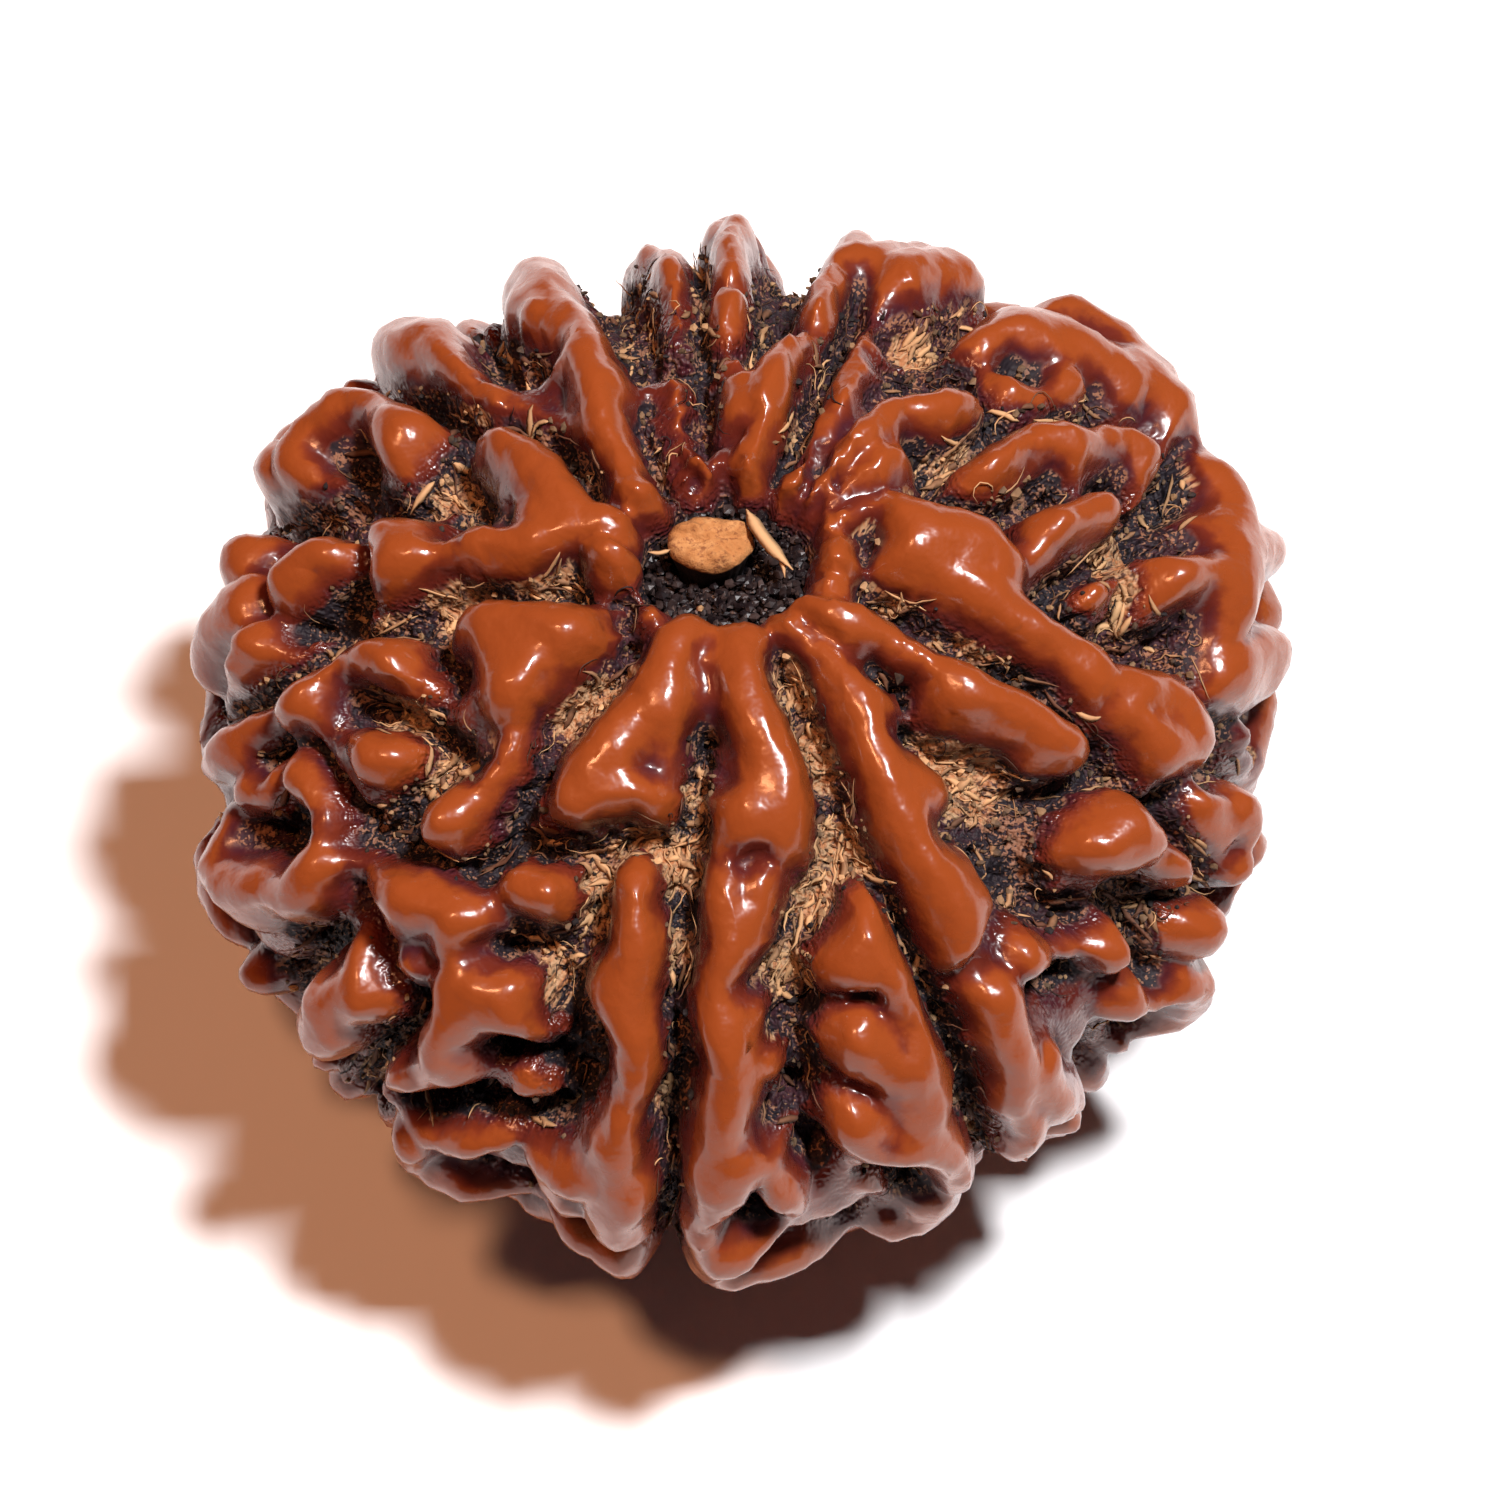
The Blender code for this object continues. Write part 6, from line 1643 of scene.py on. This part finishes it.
class BeadSettings(bpy.types.PropertyGroup):
    """All settings of the bead."""

    stone: bpy.props.PointerProperty(type=StoneLook)
    pith: bpy.props.PointerProperty(type=PithLook)
    debris: bpy.props.PointerProperty(type=DebrisLook)
    stage: bpy.props.PointerProperty(type=StageLook)


class BEAD_OT_shell(bpy.types.Operator):
    """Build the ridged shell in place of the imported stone"""

    bl_idname = "bead.shell"
    bl_label = "Shell"

    def execute(self, context):
        look = context.scene.bead.stone
        mesh = fine_skin(look)
        points = vertex_array(mesh) / MM
        middle = middle_of(points)
        mesh.update()
        # Painted light: round the upper pole the stored height is raised, so the skin there takes lighter
        # crest colours
        from_pole = np.hypot(points[:, 0], points[:, 1]) + PIT_RADIUS * FAR_SIDE * (points[:, 2] < 0)
        lit = POLE_PAINTED_LIGHT * np.exp(-((from_pole / POLE_PAINTED_LIGHT_SPREAD) ** 2))
        store(mesh, "height", heights_of(points) + lit * (from_pole > PIT_RADIUS))
        store(mesh, "hollow", hollowness(mesh, points))
        store(mesh, "grain", grain_of(points))
        placed = points + middle
        placed[:, 2] = np.maximum(placed[:, 2], 0.0)
        mesh.vertices.foreach_set("co", ((placed - middle) * MM).ravel())
        mesh.shade_smooth()
        shell = new_piece("shell", mesh, shell_material(look), middle)
        shell["middle"] = list(middle)
        tree, _ = skin_tree()
        store(mesh, "wood", wood_share(tree, points))
        store(mesh, "soot_and_shade", soot_and_shade_share(tree, points))
        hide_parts("stone")
        return {"FINISHED"}


class BEAD_OT_pith(bpy.types.Operator):
    """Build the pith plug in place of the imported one"""

    bl_idname = "bead.pith"
    bl_label = "Pith"

    def execute(self, context):
        middle = np.array(bpy.data.objects["shell"]["middle"])
        material = pith_material(context.scene.bead.pith)
        plug = new_piece("pith_plug", pith_mesh(), material, middle)
        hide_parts("pith")
        return {"FINISHED"}


class BEAD_OT_fibres(bpy.types.Operator):
    """Lay slivers and hairs of torn wood in the furrows"""

    bl_idname = "bead.fibres"
    bl_label = "Fibres"

    def execute(self, context):
        look = context.scene.bead.debris
        tree, middle = skin_tree()
        draw = np.random.default_rng(FIBRE_SEED)
        slivers = [curve_strand(*strand) for strand in PIT_SPLINTERS] + make_splinters(tree, draw, look)
        pale = make_hairs(
            tree, draw, look.pale_hair_density, PALE_HAIR_ODDS, PALE_HAIR_BEND, PALE_HAIR_LIFT
        )
        dark = make_hairs(
            tree, draw, look.dark_hair_density, DARK_HAIR_ODDS, DARK_HAIR_BEND, DARK_HAIR_LIFT
        )
        torn = fibre_material("torn_wood", look.brown_colour, look.pale_colour)
        old = fibre_material("old_fibre", look.black_colour, look.brown_colour, 0.45)
        pieces = (("wood_slivers", slivers, torn), ("pale_hairs", pale, torn), ("dark_hairs", dark, old))
        strew(pieces, strand_mesh, middle)
        return {"FINISHED"}


class BEAD_OT_grit(bpy.types.Operator):
    """Strew grains in the furrows and fill the pit with black crumbs"""

    bl_idname = "bead.grit"
    bl_label = "Grit"

    def execute(self, context):
        look = context.scene.bead.debris
        tree, middle = skin_tree()
        draw = np.random.default_rng(GRIT_SEED)
        dust = fibre_material("grit", look.black_colour, look.pale_colour, 0.6)
        crumb = fibre_material("crumbs", look.black_colour, look.grey_colour, 0.25)
        grit, crumbs = make_grit(tree, draw, look), pit_grains(draw)
        strew((("furrow_grit", grit, dust), ("pit_crumbs", crumbs, crumb)), grit_mesh, middle)
        return {"FINISHED"}


def aim(thing, target):
    """Turn an object's -Z towards a point."""
    thing.rotation_mode = "QUATERNION"
    thing.rotation_quaternion = (thing.location - Vector(target)).to_track_quat("Z", "Y")


def add_lamp(name, way, power, colour):
    """A square soft lamp on this way from the bead."""
    lamp = bpy.data.lights.new(name, "AREA")
    lamp.energy, lamp.color, lamp.size = power, colour, LAMP_SIZE
    thing = bpy.data.objects.new(name, lamp)
    bpy.context.scene.collection.objects.link(thing)
    thing.location = Vector(way).normalized() * LAMP_DISTANCE
    aim(thing, (0.0, 0.0, 0.0))


class BEAD_OT_stage(bpy.types.Operator):
    """Set the floor, the lamps and the camera"""

    bl_idname = "bead.stage"
    bl_label = "Stage"

    def execute(self, context):
        look = context.scene.bead.stage
        scene = context.scene
        bpy.ops.mesh.primitive_plane_add(size=FLOOR_SIZE)
        floor = context.object
        floor.name = "floor"
        recipe = Recipe("floor", Roughness=0.7, Specular_IOR_Level=0.2)
        floor.data.materials.append(recipe.finish(Base_Color=tuple(look.floor_colour)))
        add_lamp("white_lamp", WHITE_WAY, look.white_power, WHITE_LIGHT)
        add_lamp("warm_lamp", WARM_WAY, look.warm_power, look.warm_colour)
        world = bpy.data.worlds.new("room")
        world.use_nodes = True
        light = world.node_tree.nodes["Background"].inputs
        light["Color"].default_value, light["Strength"].default_value = ROOM_COLOUR, look.room_light
        scene.world = world
        scene.view_settings.view_transform = "Standard"
        self.place_camera(scene)
        return {"FINISHED"}

    def place_camera(self, scene):
        """The camera, at the photograph's angle and framing."""
        back = Vector(TOWARDS_VIEWER)
        up = back.cross(Vector((1.0, 0.0, 0.0)))
        middle = Vector(bpy.data.objects["shell"]["middle"]) * MM
        right = (PHOTO_SIDE / 2 - POLE_PIXEL[0]) / PIXELS_A_MM * MM
        rise = (POLE_PIXEL[1] - PHOTO_SIDE / 2) / PIXELS_A_MM * MM
        target = middle + Vector((right, 0.0, 0.0)) + up * rise
        lens = bpy.data.cameras.new("camera")
        lens.sensor_width = SENSOR
        lens.lens = SENSOR * CAMERA_DISTANCE / (PHOTO_SIDE / PIXELS_A_MM * MM)
        lens.clip_start = NEAREST_SEEN
        camera = bpy.data.objects.new("camera", lens)
        scene.collection.objects.link(camera)
        camera.location = target + back * CAMERA_DISTANCE
        aim(camera, target)
        scene.camera = camera


class BEAD_PT_panel(bpy.types.Panel):
    """Steps and settings of the bead"""

    bl_idname = "BEAD_PT_panel"
    bl_label = "Rudraksha Bead"
    bl_space_type = "VIEW_3D"
    bl_region_type = "UI"
    bl_category = "Bead"

    def draw(self, context):
        for operator, group in STEPS:
            self.layout.operator(operator)
            look = getattr(context.scene.bead, group)
            for name in look.bl_rna.properties.keys():
                if name not in ("rna_type", "name"):
                    self.layout.prop(look, name)


STEPS = (
    ("bead.shell", "stone"),
    ("bead.pith", "pith"),
    ("bead.fibres", "debris"),
    ("bead.grit", "debris"),
    ("bead.stage", "stage"),
)

CLASSES = (
    StoneLook, PithLook, DebrisLook, StageLook, BeadSettings,
    BEAD_OT_shell, BEAD_OT_pith, BEAD_OT_fibres, BEAD_OT_grit, BEAD_OT_stage, BEAD_PT_panel,
)


def register():
    """Register the classes and the settings."""
    for kind in CLASSES:
        bpy.utils.register_class(kind)
    bpy.types.Scene.bead = bpy.props.PointerProperty(type=BeadSettings)


def unregister():
    """Take the settings and the classes away again."""
    del bpy.types.Scene.bead
    for kind in reversed(CLASSES):
        bpy.utils.unregister_class(kind)


def main():
    """Build every piece."""
    register()
    bpy.ops.bead.shell()
    bpy.ops.bead.pith()
    bpy.ops.bead.fibres()
    bpy.ops.bead.grit()
    bpy.ops.bead.stage()


if __name__ == "__main__":
    main()
